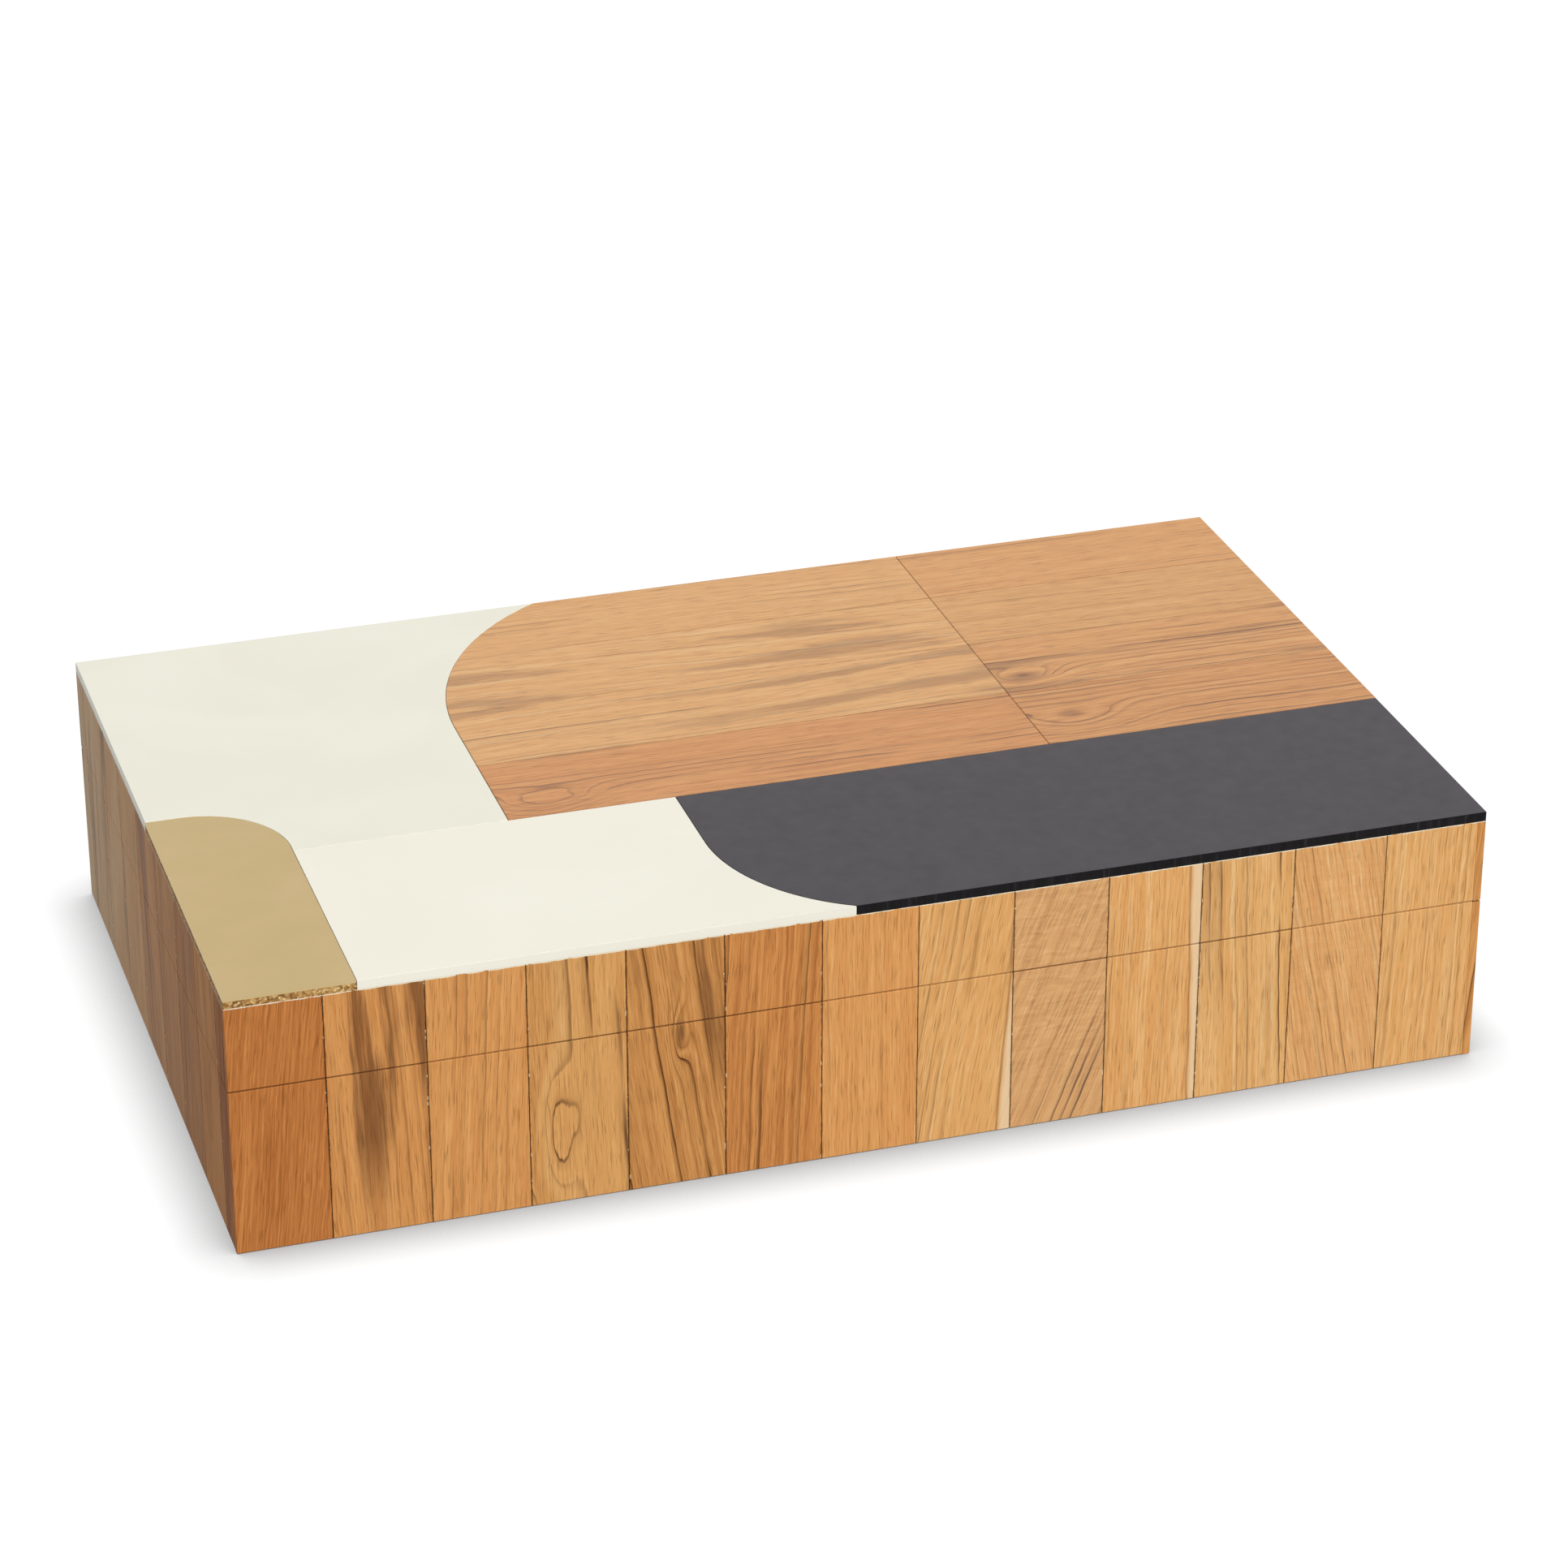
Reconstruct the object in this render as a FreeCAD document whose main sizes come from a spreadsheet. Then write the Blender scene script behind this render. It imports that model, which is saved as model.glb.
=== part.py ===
import FreeCAD, Part
import os
import Sketcher

# Hinged wooden box with an inlaid lid. Millimetres, +Z up, front towards -Y.
# The origin is the centre of the underside.

doc = FreeCAD.newDocument("InlaidBox")

# Driving dimensions
DIMENSIONS = {
    # Box as a whole
    "box_width": 300.0,
    "box_depth": 180.0,
    "box_height": 65.0,
    "lid_height": 23.4,
    # Fibreboard core
    "wall_thickness": 8.0,
    "bottom_thickness": 5.0,
    "lid_panel_thickness": 6.0,
    # Teak cladding strips
    "strip_thickness": 2.0,
    "strip_width": 23.0,
    "least_closing_strip": 4.0,
    "arris_ease": 0.3,
    "glue_line": 0.1,
    # Inlay of the lid top, x from the left edge and y from the front edge
    "inlay_thickness": 2.4,
    "brass_thickness": 0.7,
    "front_field_depth": 64.5,
    "teak_left": 81.0,
    "teak_split": 215.0,
    "teak_corner_radius": 75.0,
    "teak_corner_overrun": 10.6,
    "plank_width": 29.4,
    "black_left": 121.5,
    "black_corner_radius": 46.0,
    "black_corner_overrun": 5.7,
    "brass_width": 29.8,
    "brass_corner_radius": 22.0,
    "brass_shoulder": 2.1,
    # Felt
    "felt_thickness": 1.0,
    "felt_margin": 0.5,
    # Stop hinges
    "hinge_inset": 55.0,
    "leaf_length": 32.0,
    "leaf_thickness": 3.0,
    "leaf_shoulder": 1.5,
    "leaf_gap": 0.2,
    "barrel_radius": 2.4,
    "pin_radius": 1.0,
    "pin_clearance": 0.05,
    "knuckle_gap": 0.15,
    "knuckle_clearance": 0.3,
    "stop_angle": 95.0,
    "stop_margin": 1.0,
    "mortise_clearance": 0.1,
    # Hinge screws
    "screw_spacing": 19.0,
    "screw_setback": 5.2,
    "screw_length": 9.0,
    "screw_head_radius": 2.1,
    "screw_shank_radius": 1.0,
    "screw_tip_length": 2.0,
    "screw_clearance": 0.05,
}

sizes = doc.addObject("Spreadsheet::Sheet", "Sizes")
for row, (alias, value) in enumerate(DIMENSIONS.items(), start=1):
    sizes.set("A%d" % row, alias)
    sizes.set("B%d" % row, str(value))
    sizes.setAlias("B%d" % row, alias)
doc.recompute()

# Levels and places that several pieces share
SEAM = "(Sizes.box_height - Sizes.lid_height)"
FLOOR = "(Sizes.felt_thickness + Sizes.bottom_thickness)"
INLAY_UNDERSIDE = "(Sizes.box_height - Sizes.inlay_thickness)"
LID_CEILING = "(%s - Sizes.lid_panel_thickness)" % INLAY_UNDERSIDE
LEFT = "(-Sizes.box_width / 2)"
RIGHT = "(Sizes.box_width / 2)"
FRONT = "(-Sizes.box_depth / 2)"
BACK = "(Sizes.box_depth / 2)"
CORE_WIDTH = "(Sizes.box_width - 2 * Sizes.strip_thickness)"
CORE_DEPTH = "(Sizes.box_depth - 2 * Sizes.strip_thickness)"
CLEAR_WIDTH = "(%s - 2 * Sizes.wall_thickness)" % CORE_WIDTH
CLEAR_DEPTH = "(%s - 2 * Sizes.wall_thickness)" % CORE_DEPTH

nodes = []


def hand_in(piece, label):
    """Name a finished sub-part and put it on the list that is written out."""
    piece.Label = label
    nodes.append(piece)
    return piece


def place(piece, corner, turn=None):
    """Turn a piece and tie the three coordinates of its place to the sheet."""
    if turn is not None:
        piece.Placement = FreeCAD.Placement(FreeCAD.Vector(), turn)
    for axis, expression in zip("xyz", corner):
        piece.setExpression("Placement.Base." + axis, expression)


def block(name, corner, edges):
    """A square block from its low corner and its edges along X, Y and Z."""
    piece = doc.addObject("Part::Box", name)
    for size, expression in zip(("Length", "Width", "Height"), edges):
        piece.setExpression(size, expression)
    place(piece, corner)
    return piece


def bar(name, corner, radius, length, turn):
    """A round bar from the centre of its end face."""
    piece = doc.addObject("Part::Cylinder", name)
    piece.setExpression("Radius", radius)
    piece.setExpression("Height", length)
    place(piece, corner, turn)
    return piece


def cut(name, base, tools):
    """The base with every tool taken away from it."""
    together = doc.addObject("Part::MultiFuse", name + "_tools")
    together.Shapes = tools
    piece = doc.addObject("Part::Cut", name)
    piece.Base = base
    piece.Tool = together
    return piece


def origin_feature(body, role):
    """One of a body's own axes or planes."""
    return next(item for item in body.Origin.OriginFeatures if item.Role == role)


def flat_sketch(body, name, plane, height="0"):
    """An empty sketch on one of the body's planes, moved along the plane's normal."""
    sketch = body.newObject("Sketcher::SketchObject", name)
    sketch.AttachmentSupport = [(origin_feature(body, plane), "")]
    sketch.MapMode = "FlatFace"
    if height != "0":
        sketch.setExpression("AttachmentOffset.Base.z", height)
    return sketch


def pin_point(sketch, edge, end, corner):
    """Tie one end of a sketch edge to two expressions measured from the sketch origin."""
    origin = (-1, 1)
    axes = {"DistanceX": -2, "DistanceY": -1}
    for (kind, axis), expression in zip(axes.items(), corner):
        if expression == "0":
            sketch.addConstraint(Sketcher.Constraint("PointOnObject", edge, end, axis))
            continue
        value = float(sketch.evalExpression(expression))
        index = sketch.addConstraint(Sketcher.Constraint(kind, *origin, edge, end, value))
        sketch.setExpression("Constraints[%d]" % index, expression)


SAME_POINT = 1e-6


def draw_outline(sketch, corners, arcs=()):
    """Closed outline through corners given as pairs of expressions.

    arcs maps the number of an edge to (radius, centre), where the edge is an arc of under a half circle.
    """
    arcs = dict(arcs)
    points = []
    for corner in corners:
        values = [float(sketch.evalExpression(expression)) for expression in corner]
        points.append(FreeCAD.Vector(values[0], values[1], 0))
    start_end = []
    for number, start in enumerate(points):
        end = points[(number + 1) % len(points)]
        if number not in arcs:
            edge = sketch.addGeometry(Part.LineSegment(start, end), False)
            start_end.append((edge, 1, 2))
            continue
        radius, centre = arcs[number]
        middle = FreeCAD.Vector(*[float(sketch.evalExpression(expression)) for expression in centre], 0)
        outward = ((start + end) * 0.5 - middle).normalize()
        top = middle + outward * float(sketch.evalExpression(radius))
        edge = sketch.addGeometry(Part.Arc(start, top, end), False)
        forwards = sketch.getPoint(edge, 1).isEqual(start, SAME_POINT)
        start_end.append((edge, 1, 2) if forwards else (edge, 2, 1))
        index = sketch.addConstraint(
            Sketcher.Constraint("Radius", edge, float(sketch.evalExpression(radius))))
        sketch.setExpression("Constraints[%d]" % index, radius)
    for number, (edge, start, end) in enumerate(start_end):
        following, first, _ = start_end[(number + 1) % len(start_end)]
        sketch.addConstraint(Sketcher.Constraint("Coincident", edge, end, following, first))
        pin_point(sketch, edge, start, corners[number])


def draw_circle(sketch, centre, radius):
    """One circle with its centre and radius tied to the sheet."""
    value = float(sketch.evalExpression(radius))
    edge = sketch.addGeometry(Part.Circle(FreeCAD.Vector(), FreeCAD.Vector(0, 0, 1), value), False)
    index = sketch.addConstraint(Sketcher.Constraint("Radius", edge, value))
    sketch.setExpression("Constraints[%d]" % index, radius)
    pin_point(sketch, edge, 3, centre)


def pad(body, sketch, length):
    """Raise a sketch to a length tied to the sheet."""
    feature = body.newObject("PartDesign::Pad", sketch.Name + "_pad")
    feature.Profile = sketch
    feature.setExpression("Length", length)
    return feature


def pocket(body, sketch, length=None):
    """Cut a sketch along its plane's normal, right through the body or to a length."""
    feature = body.newObject("PartDesign::Pocket", sketch.Name + "_pocket")
    feature.Profile = sketch
    if length is None:
        feature.Type = "ThroughAll"
        feature.SideType = "Symmetric"
    else:
        feature.Reversed = True
        feature.setExpression("Length", length)
    return feature


def row_along_x(body, feature, count, pitch):
    """Repeat a feature along the body's X axis."""
    pattern = body.newObject("PartDesign::LinearPattern", feature.Name + "_row")
    pattern.Originals = [feature]
    pattern.Direction = (origin_feature(body, "X_Axis"), [""])
    pattern.setExpression("Occurrences", count)
    pattern.setExpression("Length", "%s * (%s - 1)" % (pitch, count))
    body.Tip = pattern
    return pattern


def slab(label, corners, arcs=(), bottom=INLAY_UNDERSIDE, thickness="Sizes.inlay_thickness"):
    """A piece of the lid's top layer, drawn from the front left corner of the lid."""
    body = doc.addObject("PartDesign::Body", label)
    sketch = flat_sketch(body, label + "_outline", "XY_Plane")
    draw_outline(sketch, corners, arcs)
    pad(body, sketch, thickness)
    place(body, (LEFT, FRONT, bottom))
    return body


# Stop hinges: two brass butt hinges whose bevelled leaves meet at the open angle.
# Each pin lies in the seam, on the plane of the box's back face.
HINGE_CENTRES = {
    "left": "(%s + Sizes.hinge_inset)" % LEFT,
    "right": "(%s - Sizes.hinge_inset)" % RIGHT,
}
KNUCKLES = 3
BASE_KNUCKLES = 2
LID_KNUCKLES = 1
LEAF_REACH = "(Sizes.strip_thickness + Sizes.wall_thickness - Sizes.leaf_shoulder)"
LEAF_DEPTH = "(Sizes.leaf_thickness + Sizes.leaf_gap / 2)"
BEVEL = "((Sizes.stop_angle + Sizes.stop_margin) / 2)"
KNUCKLE_PITCH = "(Sizes.leaf_length / %d)" % KNUCKLES
SCREW_HEAD_DEPTH = "(Sizes.screw_head_radius - Sizes.screw_shank_radius)"
TURNED_OVER = FreeCAD.Rotation(FreeCAD.Vector(0, 1, 0), 180)
ALONG_X = FreeCAD.Rotation(FreeCAD.Vector(0, 1, 0), 90)


def knuckle_start(number, room):
    """Where a knuckle begins along the leaf, with some room left at its ends."""
    return "(%d * %s + %s)" % (number, KNUCKLE_PITCH, room)


def hinge_leaf(label, own_first, own_count, bore_radius):
    """A bevelled leaf with its knuckles, drawn from its low inner corner with the pin along X."""
    body = doc.addObject("PartDesign::Body", label)
    pin_place = (LEAF_REACH, LEAF_DEPTH)
    plate = flat_sketch(body, label + "_plate", "YZ_Plane")
    draw_outline(plate, [
        ("0", "0"),
        ("%s + %s / tan(%s)" % (LEAF_REACH, LEAF_DEPTH, BEVEL), "0"),
        ("%s + Sizes.leaf_gap / 2 / tan(%s)" % (LEAF_REACH, BEVEL), "Sizes.leaf_thickness"),
        ("0", "Sizes.leaf_thickness"),
    ])
    pad(body, plate, "Sizes.leaf_length")

    other_first = 1 - own_first
    other_count = KNUCKLES - own_count
    relief = flat_sketch(body, label + "_relief", "YZ_Plane", knuckle_start(other_first, "0"))
    draw_circle(relief, pin_place, "Sizes.barrel_radius + Sizes.knuckle_clearance")
    relief_cut = pocket(body, relief, KNUCKLE_PITCH)
    if other_count > 1:
        row_along_x(body, relief_cut, str(other_count), "2 * " + KNUCKLE_PITCH)

    knuckle = flat_sketch(body, label + "_knuckle", "YZ_Plane",
                          knuckle_start(own_first, "Sizes.knuckle_gap / 2"))
    draw_circle(knuckle, pin_place, "Sizes.barrel_radius")
    knuckle_pad = pad(body, knuckle, KNUCKLE_PITCH + " - Sizes.knuckle_gap")
    if own_count > 1:
        row_along_x(body, knuckle_pad, str(own_count), "2 * " + KNUCKLE_PITCH)

    bore = flat_sketch(body, label + "_bore", "YZ_Plane")
    draw_circle(bore, pin_place, bore_radius)
    body.Tip = pocket(body, bore)
    doc.recompute()

    drilling = flat_sketch(body, label + "_drilling", "XY_Plane", "Sizes.leaf_thickness")
    for side in ("-", "+"):
        draw_circle(drilling,
                    ("Sizes.leaf_length / 2 %s Sizes.screw_spacing / 2" % side,
                     "%s - Sizes.screw_setback" % LEAF_REACH),
                    "Sizes.screw_shank_radius + Sizes.screw_clearance")
    doc.recompute()
    hole = body.newObject("PartDesign::Hole", label + "_screw_holes")
    hole.Profile = drilling
    hole.ThreadType = "None"
    hole.DepthType = "ThroughAll"
    hole.setExpression("Diameter", "2 * (Sizes.screw_shank_radius + Sizes.screw_clearance)")
    hole.HoleCutType = "Countersink"
    hole.HoleCutCountersinkAngle = 90
    hole.HoleCutCustomValues = True
    hole.setExpression("HoleCutDiameter", "2 * (Sizes.screw_head_radius + Sizes.screw_clearance)")
    body.Tip = hole
    return body


def hinge_screw(name):
    """A countersunk wood screw standing on its point, with the point at the local origin."""
    body = doc.addObject("PartDesign::Body", name)
    profile = flat_sketch(body, name + "_profile", "YZ_Plane")
    tip_radius = "Sizes.screw_shank_radius / 4"
    draw_outline(profile, [
        ("0", "0"),
        (tip_radius, "0"),
        ("Sizes.screw_shank_radius", "Sizes.screw_tip_length"),
        ("Sizes.screw_shank_radius", "Sizes.screw_length - " + SCREW_HEAD_DEPTH),
        ("Sizes.screw_head_radius", "Sizes.screw_length"),
        ("0", "Sizes.screw_length"),
    ])
    turning = body.newObject("PartDesign::Revolution", name + "_turning")
    turning.Profile = profile
    turning.ReferenceAxis = (origin_feature(body, "Z_Axis"), [""])
    turning.Angle = 360
    body.Tip = turning
    return body


def leaf_screws(level, upright):
    """The two screws of each leaf, as one group; upright ones point down into the base."""
    group = []
    for hinge, centre in HINGE_CENTRES.items():
        for side in ("-", "+"):
            end = "first" if side == "-" else "second"
            screw = hinge_screw("%s_%s_%s_screw" % (hinge, level, end))
            height = "Sizes.leaf_gap / 2 + Sizes.screw_length"
            place(screw, (
                "%s %s Sizes.screw_spacing / 2" % (centre, side),
                "%s - Sizes.screw_setback" % BACK,
                "%s %s (%s)" % (SEAM, "-" if upright else "+", height),
            ), None if upright else TURNED_OVER)
            group.append(screw)
    together = doc.addObject("Part::Compound", level + "_screw_group")
    together.Links = group
    return hand_in(together, level + "_hinge_screws")


def hinge_cuts(level, upright):
    """What the hinges take out of a back wall: a mortise for each leaf and a pilot hole for each screw."""
    tools = []
    for hinge, centre in HINGE_CENTRES.items():
        name = "%s_%s" % (hinge, level)
        low = "%s - %s" % (SEAM, LEAF_DEPTH) if upright else SEAM
        tools.append(block(
            name + "_mortise",
            ("%s - Sizes.leaf_length / 2 - Sizes.mortise_clearance" % centre,
             "%s - %s - Sizes.mortise_clearance" % (BACK, LEAF_REACH),
             low),
            ("Sizes.leaf_length + 2 * Sizes.mortise_clearance",
             "%s + Sizes.mortise_clearance" % LEAF_REACH,
             LEAF_DEPTH)))
        for side in ("-", "+"):
            end = "first" if side == "-" else "second"
            tools.append(bar(
                "%s_%s_pilot" % (name, end),
                ("%s %s Sizes.screw_spacing / 2" % (centre, side),
                 "%s - Sizes.screw_setback" % BACK,
                 "%s - Sizes.leaf_gap / 2 - Sizes.screw_length" % SEAM if upright else SEAM),
                "Sizes.screw_shank_radius + Sizes.screw_clearance",
                "Sizes.leaf_gap / 2 + Sizes.screw_length",
                FreeCAD.Rotation()))
    return tools


for hinge, centre in HINGE_CENTRES.items():
    leaf = hinge_leaf(hinge + "_base_leaf", 0, BASE_KNUCKLES, "Sizes.pin_radius")
    place(leaf, (
        "%s - Sizes.leaf_length / 2" % centre,
        "%s - %s" % (BACK, LEAF_REACH),
        "%s - %s" % (SEAM, LEAF_DEPTH)))
    hand_in(leaf, hinge + "_hinge_base_leaf")
    leaf = hinge_leaf(hinge + "_lid_leaf", 1, LID_KNUCKLES, "Sizes.pin_radius + Sizes.pin_clearance")
    place(leaf, (
        "%s + Sizes.leaf_length / 2" % centre,
        "%s - %s" % (BACK, LEAF_REACH),
        "%s + %s" % (SEAM, LEAF_DEPTH)), TURNED_OVER)
    hand_in(leaf, hinge + "_hinge_lid_leaf")
    hinge_pin = bar(
        hinge + "_pin",
        ("%s - Sizes.leaf_length / 2" % centre, BACK, SEAM),
        "Sizes.pin_radius", "Sizes.leaf_length", ALONG_X)
    hand_in(hinge_pin, hinge + "_hinge_pin")

leaf_screws("base", True)
leaf_screws("lid", False)
base_cuts = hinge_cuts("base", True)
lid_cuts = hinge_cuts("lid", False)

# Fibreboard core: a bottom panel and four walls in the base, four walls and a top panel in the lid.
# Front and back walls run the full length, and the side walls stand between them.
CORE_LEFT = "(%s + Sizes.strip_thickness)" % LEFT
CORE_FRONT = "(%s + Sizes.strip_thickness)" % FRONT


def core_walls(level, low, high, cuts):
    """The four walls of one half of the box, the back one mortised for the hinges."""
    height = "%s - %s" % (high, low)
    inside_front = "%s + Sizes.wall_thickness" % CORE_FRONT
    long_edges = (CORE_WIDTH, "Sizes.wall_thickness", height)
    side_edges = ("Sizes.wall_thickness", CLEAR_DEPTH, height)
    wall = block(level + "_front_core", (CORE_LEFT, CORE_FRONT, low), long_edges)
    hand_in(wall, level + "_front_wall")
    back = block(
        level + "_back_blank",
        (CORE_LEFT, "%s - Sizes.strip_thickness - Sizes.wall_thickness" % BACK, low), long_edges)
    hand_in(cut(level + "_back_core", back, cuts), level + "_back_wall")
    wall = block(level + "_left_core", (CORE_LEFT, inside_front, low), side_edges)
    hand_in(wall, level + "_left_wall")
    wall = block(
        level + "_right_core",
        ("%s - Sizes.strip_thickness - Sizes.wall_thickness" % RIGHT, inside_front, low), side_edges)
    hand_in(wall, level + "_right_wall")


core_walls("base", FLOOR, SEAM, base_cuts)
core_walls("lid", SEAM, LID_CEILING, lid_cuts)
hand_in(block("bottom_board", (CORE_LEFT, CORE_FRONT, "Sizes.felt_thickness"),
              (CORE_WIDTH, CORE_DEPTH, "Sizes.bottom_thickness")), "bottom_panel")
hand_in(block("lid_board", (CORE_LEFT, CORE_FRONT, LID_CEILING),
              (CORE_WIDTH, CORE_DEPTH, "Sizes.lid_panel_thickness")), "lid_panel")

# Felt: a sheet under the bottom panel and a lining on the floor of the base.
hand_in(block(
    "underside_sheet",
    ("%s + Sizes.felt_margin" % CORE_LEFT, "%s + Sizes.felt_margin" % CORE_FRONT, "0"),
    ("%s - 2 * Sizes.felt_margin" % CORE_WIDTH,
     "%s - 2 * Sizes.felt_margin" % CORE_DEPTH,
     "Sizes.felt_thickness")), "underside_felt")
hand_in(block(
    "lining_sheet",
    ("%s + Sizes.wall_thickness + Sizes.felt_margin" % CORE_LEFT,
     "%s + Sizes.wall_thickness + Sizes.felt_margin" % CORE_FRONT,
     FLOOR),
    ("%s - 2 * Sizes.felt_margin" % CLEAR_WIDTH,
     "%s - 2 * Sizes.felt_margin" % CLEAR_DEPTH,
     "Sizes.felt_thickness")), "floor_lining")

# Teak cladding: strips butted edge to edge on each side, laid on the closed box and sawn through at the seam.
# Each side covers the end of its neighbour, the same way round at all four corners.
SIDES = {
    "front": (0, LEFT, FRONT, "Sizes.box_width", 1),
    "right": (90, RIGHT, FRONT, "Sizes.box_depth", 2),
    "back": (180, RIGHT, BACK, "Sizes.box_width", 1),
    "left": (270, LEFT, BACK, "Sizes.box_depth", 2),
}


def strip_row(name, run, height, eased_top, closing_strips):
    """A board across one side, cut into strips by glue lines; a narrower strip closes one end or both."""
    body = doc.addObject("PartDesign::Body", name)
    profile = flat_sketch(body, name + "_profile", "YZ_Plane")
    corners = [
        ("Sizes.arris_ease", "0"),
        ("Sizes.strip_thickness", "0"),
        ("Sizes.strip_thickness", height),
    ]
    if eased_top:
        corners += [("Sizes.arris_ease", height), ("0", "%s - Sizes.arris_ease" % height)]
    else:
        corners += [("0", height)]
    corners += [("0", "Sizes.arris_ease")]
    draw_outline(profile, corners)
    pad(body, profile, run)
    full_strips = "floor((%s - %d * Sizes.least_closing_strip) / Sizes.strip_width)" % (run, closing_strips)
    closing_width = "((%s - %s * Sizes.strip_width) / %d)" % (run, full_strips, closing_strips)
    joint = flat_sketch(body, name + "_joint", "XZ_Plane")
    joint_left = "%s - Sizes.glue_line / 2" % closing_width
    joint_right = "%s + Sizes.glue_line / 2" % closing_width
    draw_outline(joint, [
        (joint_left, "0"), (joint_right, "0"), (joint_right, height), (joint_left, height)])
    joint_cut = pocket(body, joint)
    row_along_x(body, joint_cut, "(%s + %d)" % (full_strips, closing_strips - 1), "Sizes.strip_width")
    return body


def cladding(level, low, high, eased_top, cuts):
    """The strips on the four sides of one half of the box, those on the back notched for the hinges."""
    height = "(%s - %s)" % (high, low)
    for side, (angle, x, y, length, closing_strips) in SIDES.items():
        run = "(%s - Sizes.strip_thickness)" % length
        strips = strip_row("%s_%s_row" % (level, side), run, height, eased_top, closing_strips)
        place(strips, (x, y, low), FreeCAD.Rotation(FreeCAD.Vector(0, 0, 1), angle))
        if side == "back":
            strips = cut("%s_back_notched_row" % level, strips, cuts)
        hand_in(strips, "%s_%s_strips" % (level, side))


cladding("base", "0", SEAM, True, base_cuts)
cladding("lid", SEAM, INLAY_UNDERSIDE, False, lid_cuts)

# Inlay of the lid top. Teak, black and brass keep the nominal outlines, and the cream slabs are cut to
# follow them one glue line away, round the same centres.
JOINT = "Sizes.front_field_depth"
TEAK_CENTRE = (
    "(Sizes.teak_left + Sizes.teak_corner_radius)",
    "(Sizes.box_depth - Sizes.teak_corner_radius + Sizes.teak_corner_overrun)")
BLACK_CENTRE = (
    "(Sizes.black_left + Sizes.black_corner_radius)",
    "(Sizes.black_corner_radius - Sizes.black_corner_overrun)")
BRASS_CENTRE = (
    "(Sizes.brass_width - Sizes.brass_corner_radius)",
    "(Sizes.front_field_depth + Sizes.brass_shoulder)")
BRASS_DEPTH = "(%s + Sizes.brass_corner_radius)" % BRASS_CENTRE[1]


def run_out(centre, radius, rise):
    """Where a corner's arc runs out over the edge of the lid, left of its centre."""
    return "%s - sqrt((%s)^2 - (%s)^2)" % (centre[0], radius, rise)


TEAK_RISE = "Sizes.teak_corner_radius - Sizes.teak_corner_overrun"
BLACK_RISE = "Sizes.black_corner_radius - Sizes.black_corner_overrun"
CREAM_TEAK_RADIUS = "Sizes.teak_corner_radius + Sizes.glue_line"
CREAM_BLACK_RADIUS = "Sizes.black_corner_radius + Sizes.glue_line"
CREAM_BRASS_RADIUS = "Sizes.brass_corner_radius + Sizes.glue_line"

hand_in(slab("cream_rear_slab", [
    ("0", "%s + Sizes.glue_line" % BRASS_DEPTH),
    (BRASS_CENTRE[0], "%s + Sizes.glue_line" % BRASS_DEPTH),
    ("Sizes.brass_width + Sizes.glue_line", BRASS_CENTRE[1]),
    ("Sizes.brass_width + Sizes.glue_line", JOINT),
    ("Sizes.teak_left - Sizes.glue_line", JOINT),
    ("Sizes.teak_left - Sizes.glue_line", TEAK_CENTRE[1]),
    (run_out(TEAK_CENTRE, CREAM_TEAK_RADIUS, TEAK_RISE), "Sizes.box_depth"),
    ("0", "Sizes.box_depth"),
], {1: (CREAM_BRASS_RADIUS, BRASS_CENTRE), 5: (CREAM_TEAK_RADIUS, TEAK_CENTRE)}), "cream_rear_inlay")

hand_in(slab("cream_front_slab", [
    ("Sizes.brass_width + Sizes.glue_line", "0"),
    (run_out(BLACK_CENTRE, CREAM_BLACK_RADIUS, BLACK_RISE), "0"),
    ("Sizes.black_left - Sizes.glue_line", BLACK_CENTRE[1]),
    ("Sizes.black_left - Sizes.glue_line", "%s - Sizes.glue_line" % JOINT),
    ("Sizes.brass_width + Sizes.glue_line", "%s - Sizes.glue_line" % JOINT),
], {1: (CREAM_BLACK_RADIUS, BLACK_CENTRE)}), "cream_front_inlay")

hand_in(slab("black_slab", [
    (run_out(BLACK_CENTRE, "Sizes.black_corner_radius", BLACK_RISE), "0"),
    ("Sizes.box_width", "0"),
    ("Sizes.box_width", "%s - Sizes.glue_line" % JOINT),
    ("Sizes.black_left", "%s - Sizes.glue_line" % JOINT),
    ("Sizes.black_left", BLACK_CENTRE[1]),
], {4: ("Sizes.black_corner_radius", BLACK_CENTRE)}), "black_inlay")

BRASS_OUTLINE = [
    ("0", "0"),
    ("Sizes.brass_width", "0"),
    ("Sizes.brass_width", BRASS_CENTRE[1]),
    (BRASS_CENTRE[0], BRASS_DEPTH),
    ("0", BRASS_DEPTH),
]
BRASS_ARCS = {2: ("Sizes.brass_corner_radius", BRASS_CENTRE)}
hand_in(slab("brass_sheet", BRASS_OUTLINE, BRASS_ARCS,
             "Sizes.box_height - Sizes.brass_thickness", "Sizes.brass_thickness"), "brass_inlay")
hand_in(slab("packer_sheet", BRASS_OUTLINE, BRASS_ARCS,
             INLAY_UNDERSIDE, "Sizes.inlay_thickness - Sizes.brass_thickness"), "brass_packer")

# Teak boards of the top: two blocks of boards, numbered from the front, the rear board of each trimmed.
# The left block is glued up first and its outline cut afterwards.
LEFT_FIELD = slab("teak_left_field", [
    ("Sizes.teak_left", JOINT),
    ("Sizes.teak_split - Sizes.glue_line", JOINT),
    ("Sizes.teak_split - Sizes.glue_line", "Sizes.box_depth"),
    (run_out(TEAK_CENTRE, "Sizes.teak_corner_radius", TEAK_RISE), "Sizes.box_depth"),
    ("Sizes.teak_left", TEAK_CENTRE[1]),
], {3: ("Sizes.teak_corner_radius", TEAK_CENTRE)})
doc.recompute()
BOARDS = 4


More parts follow.
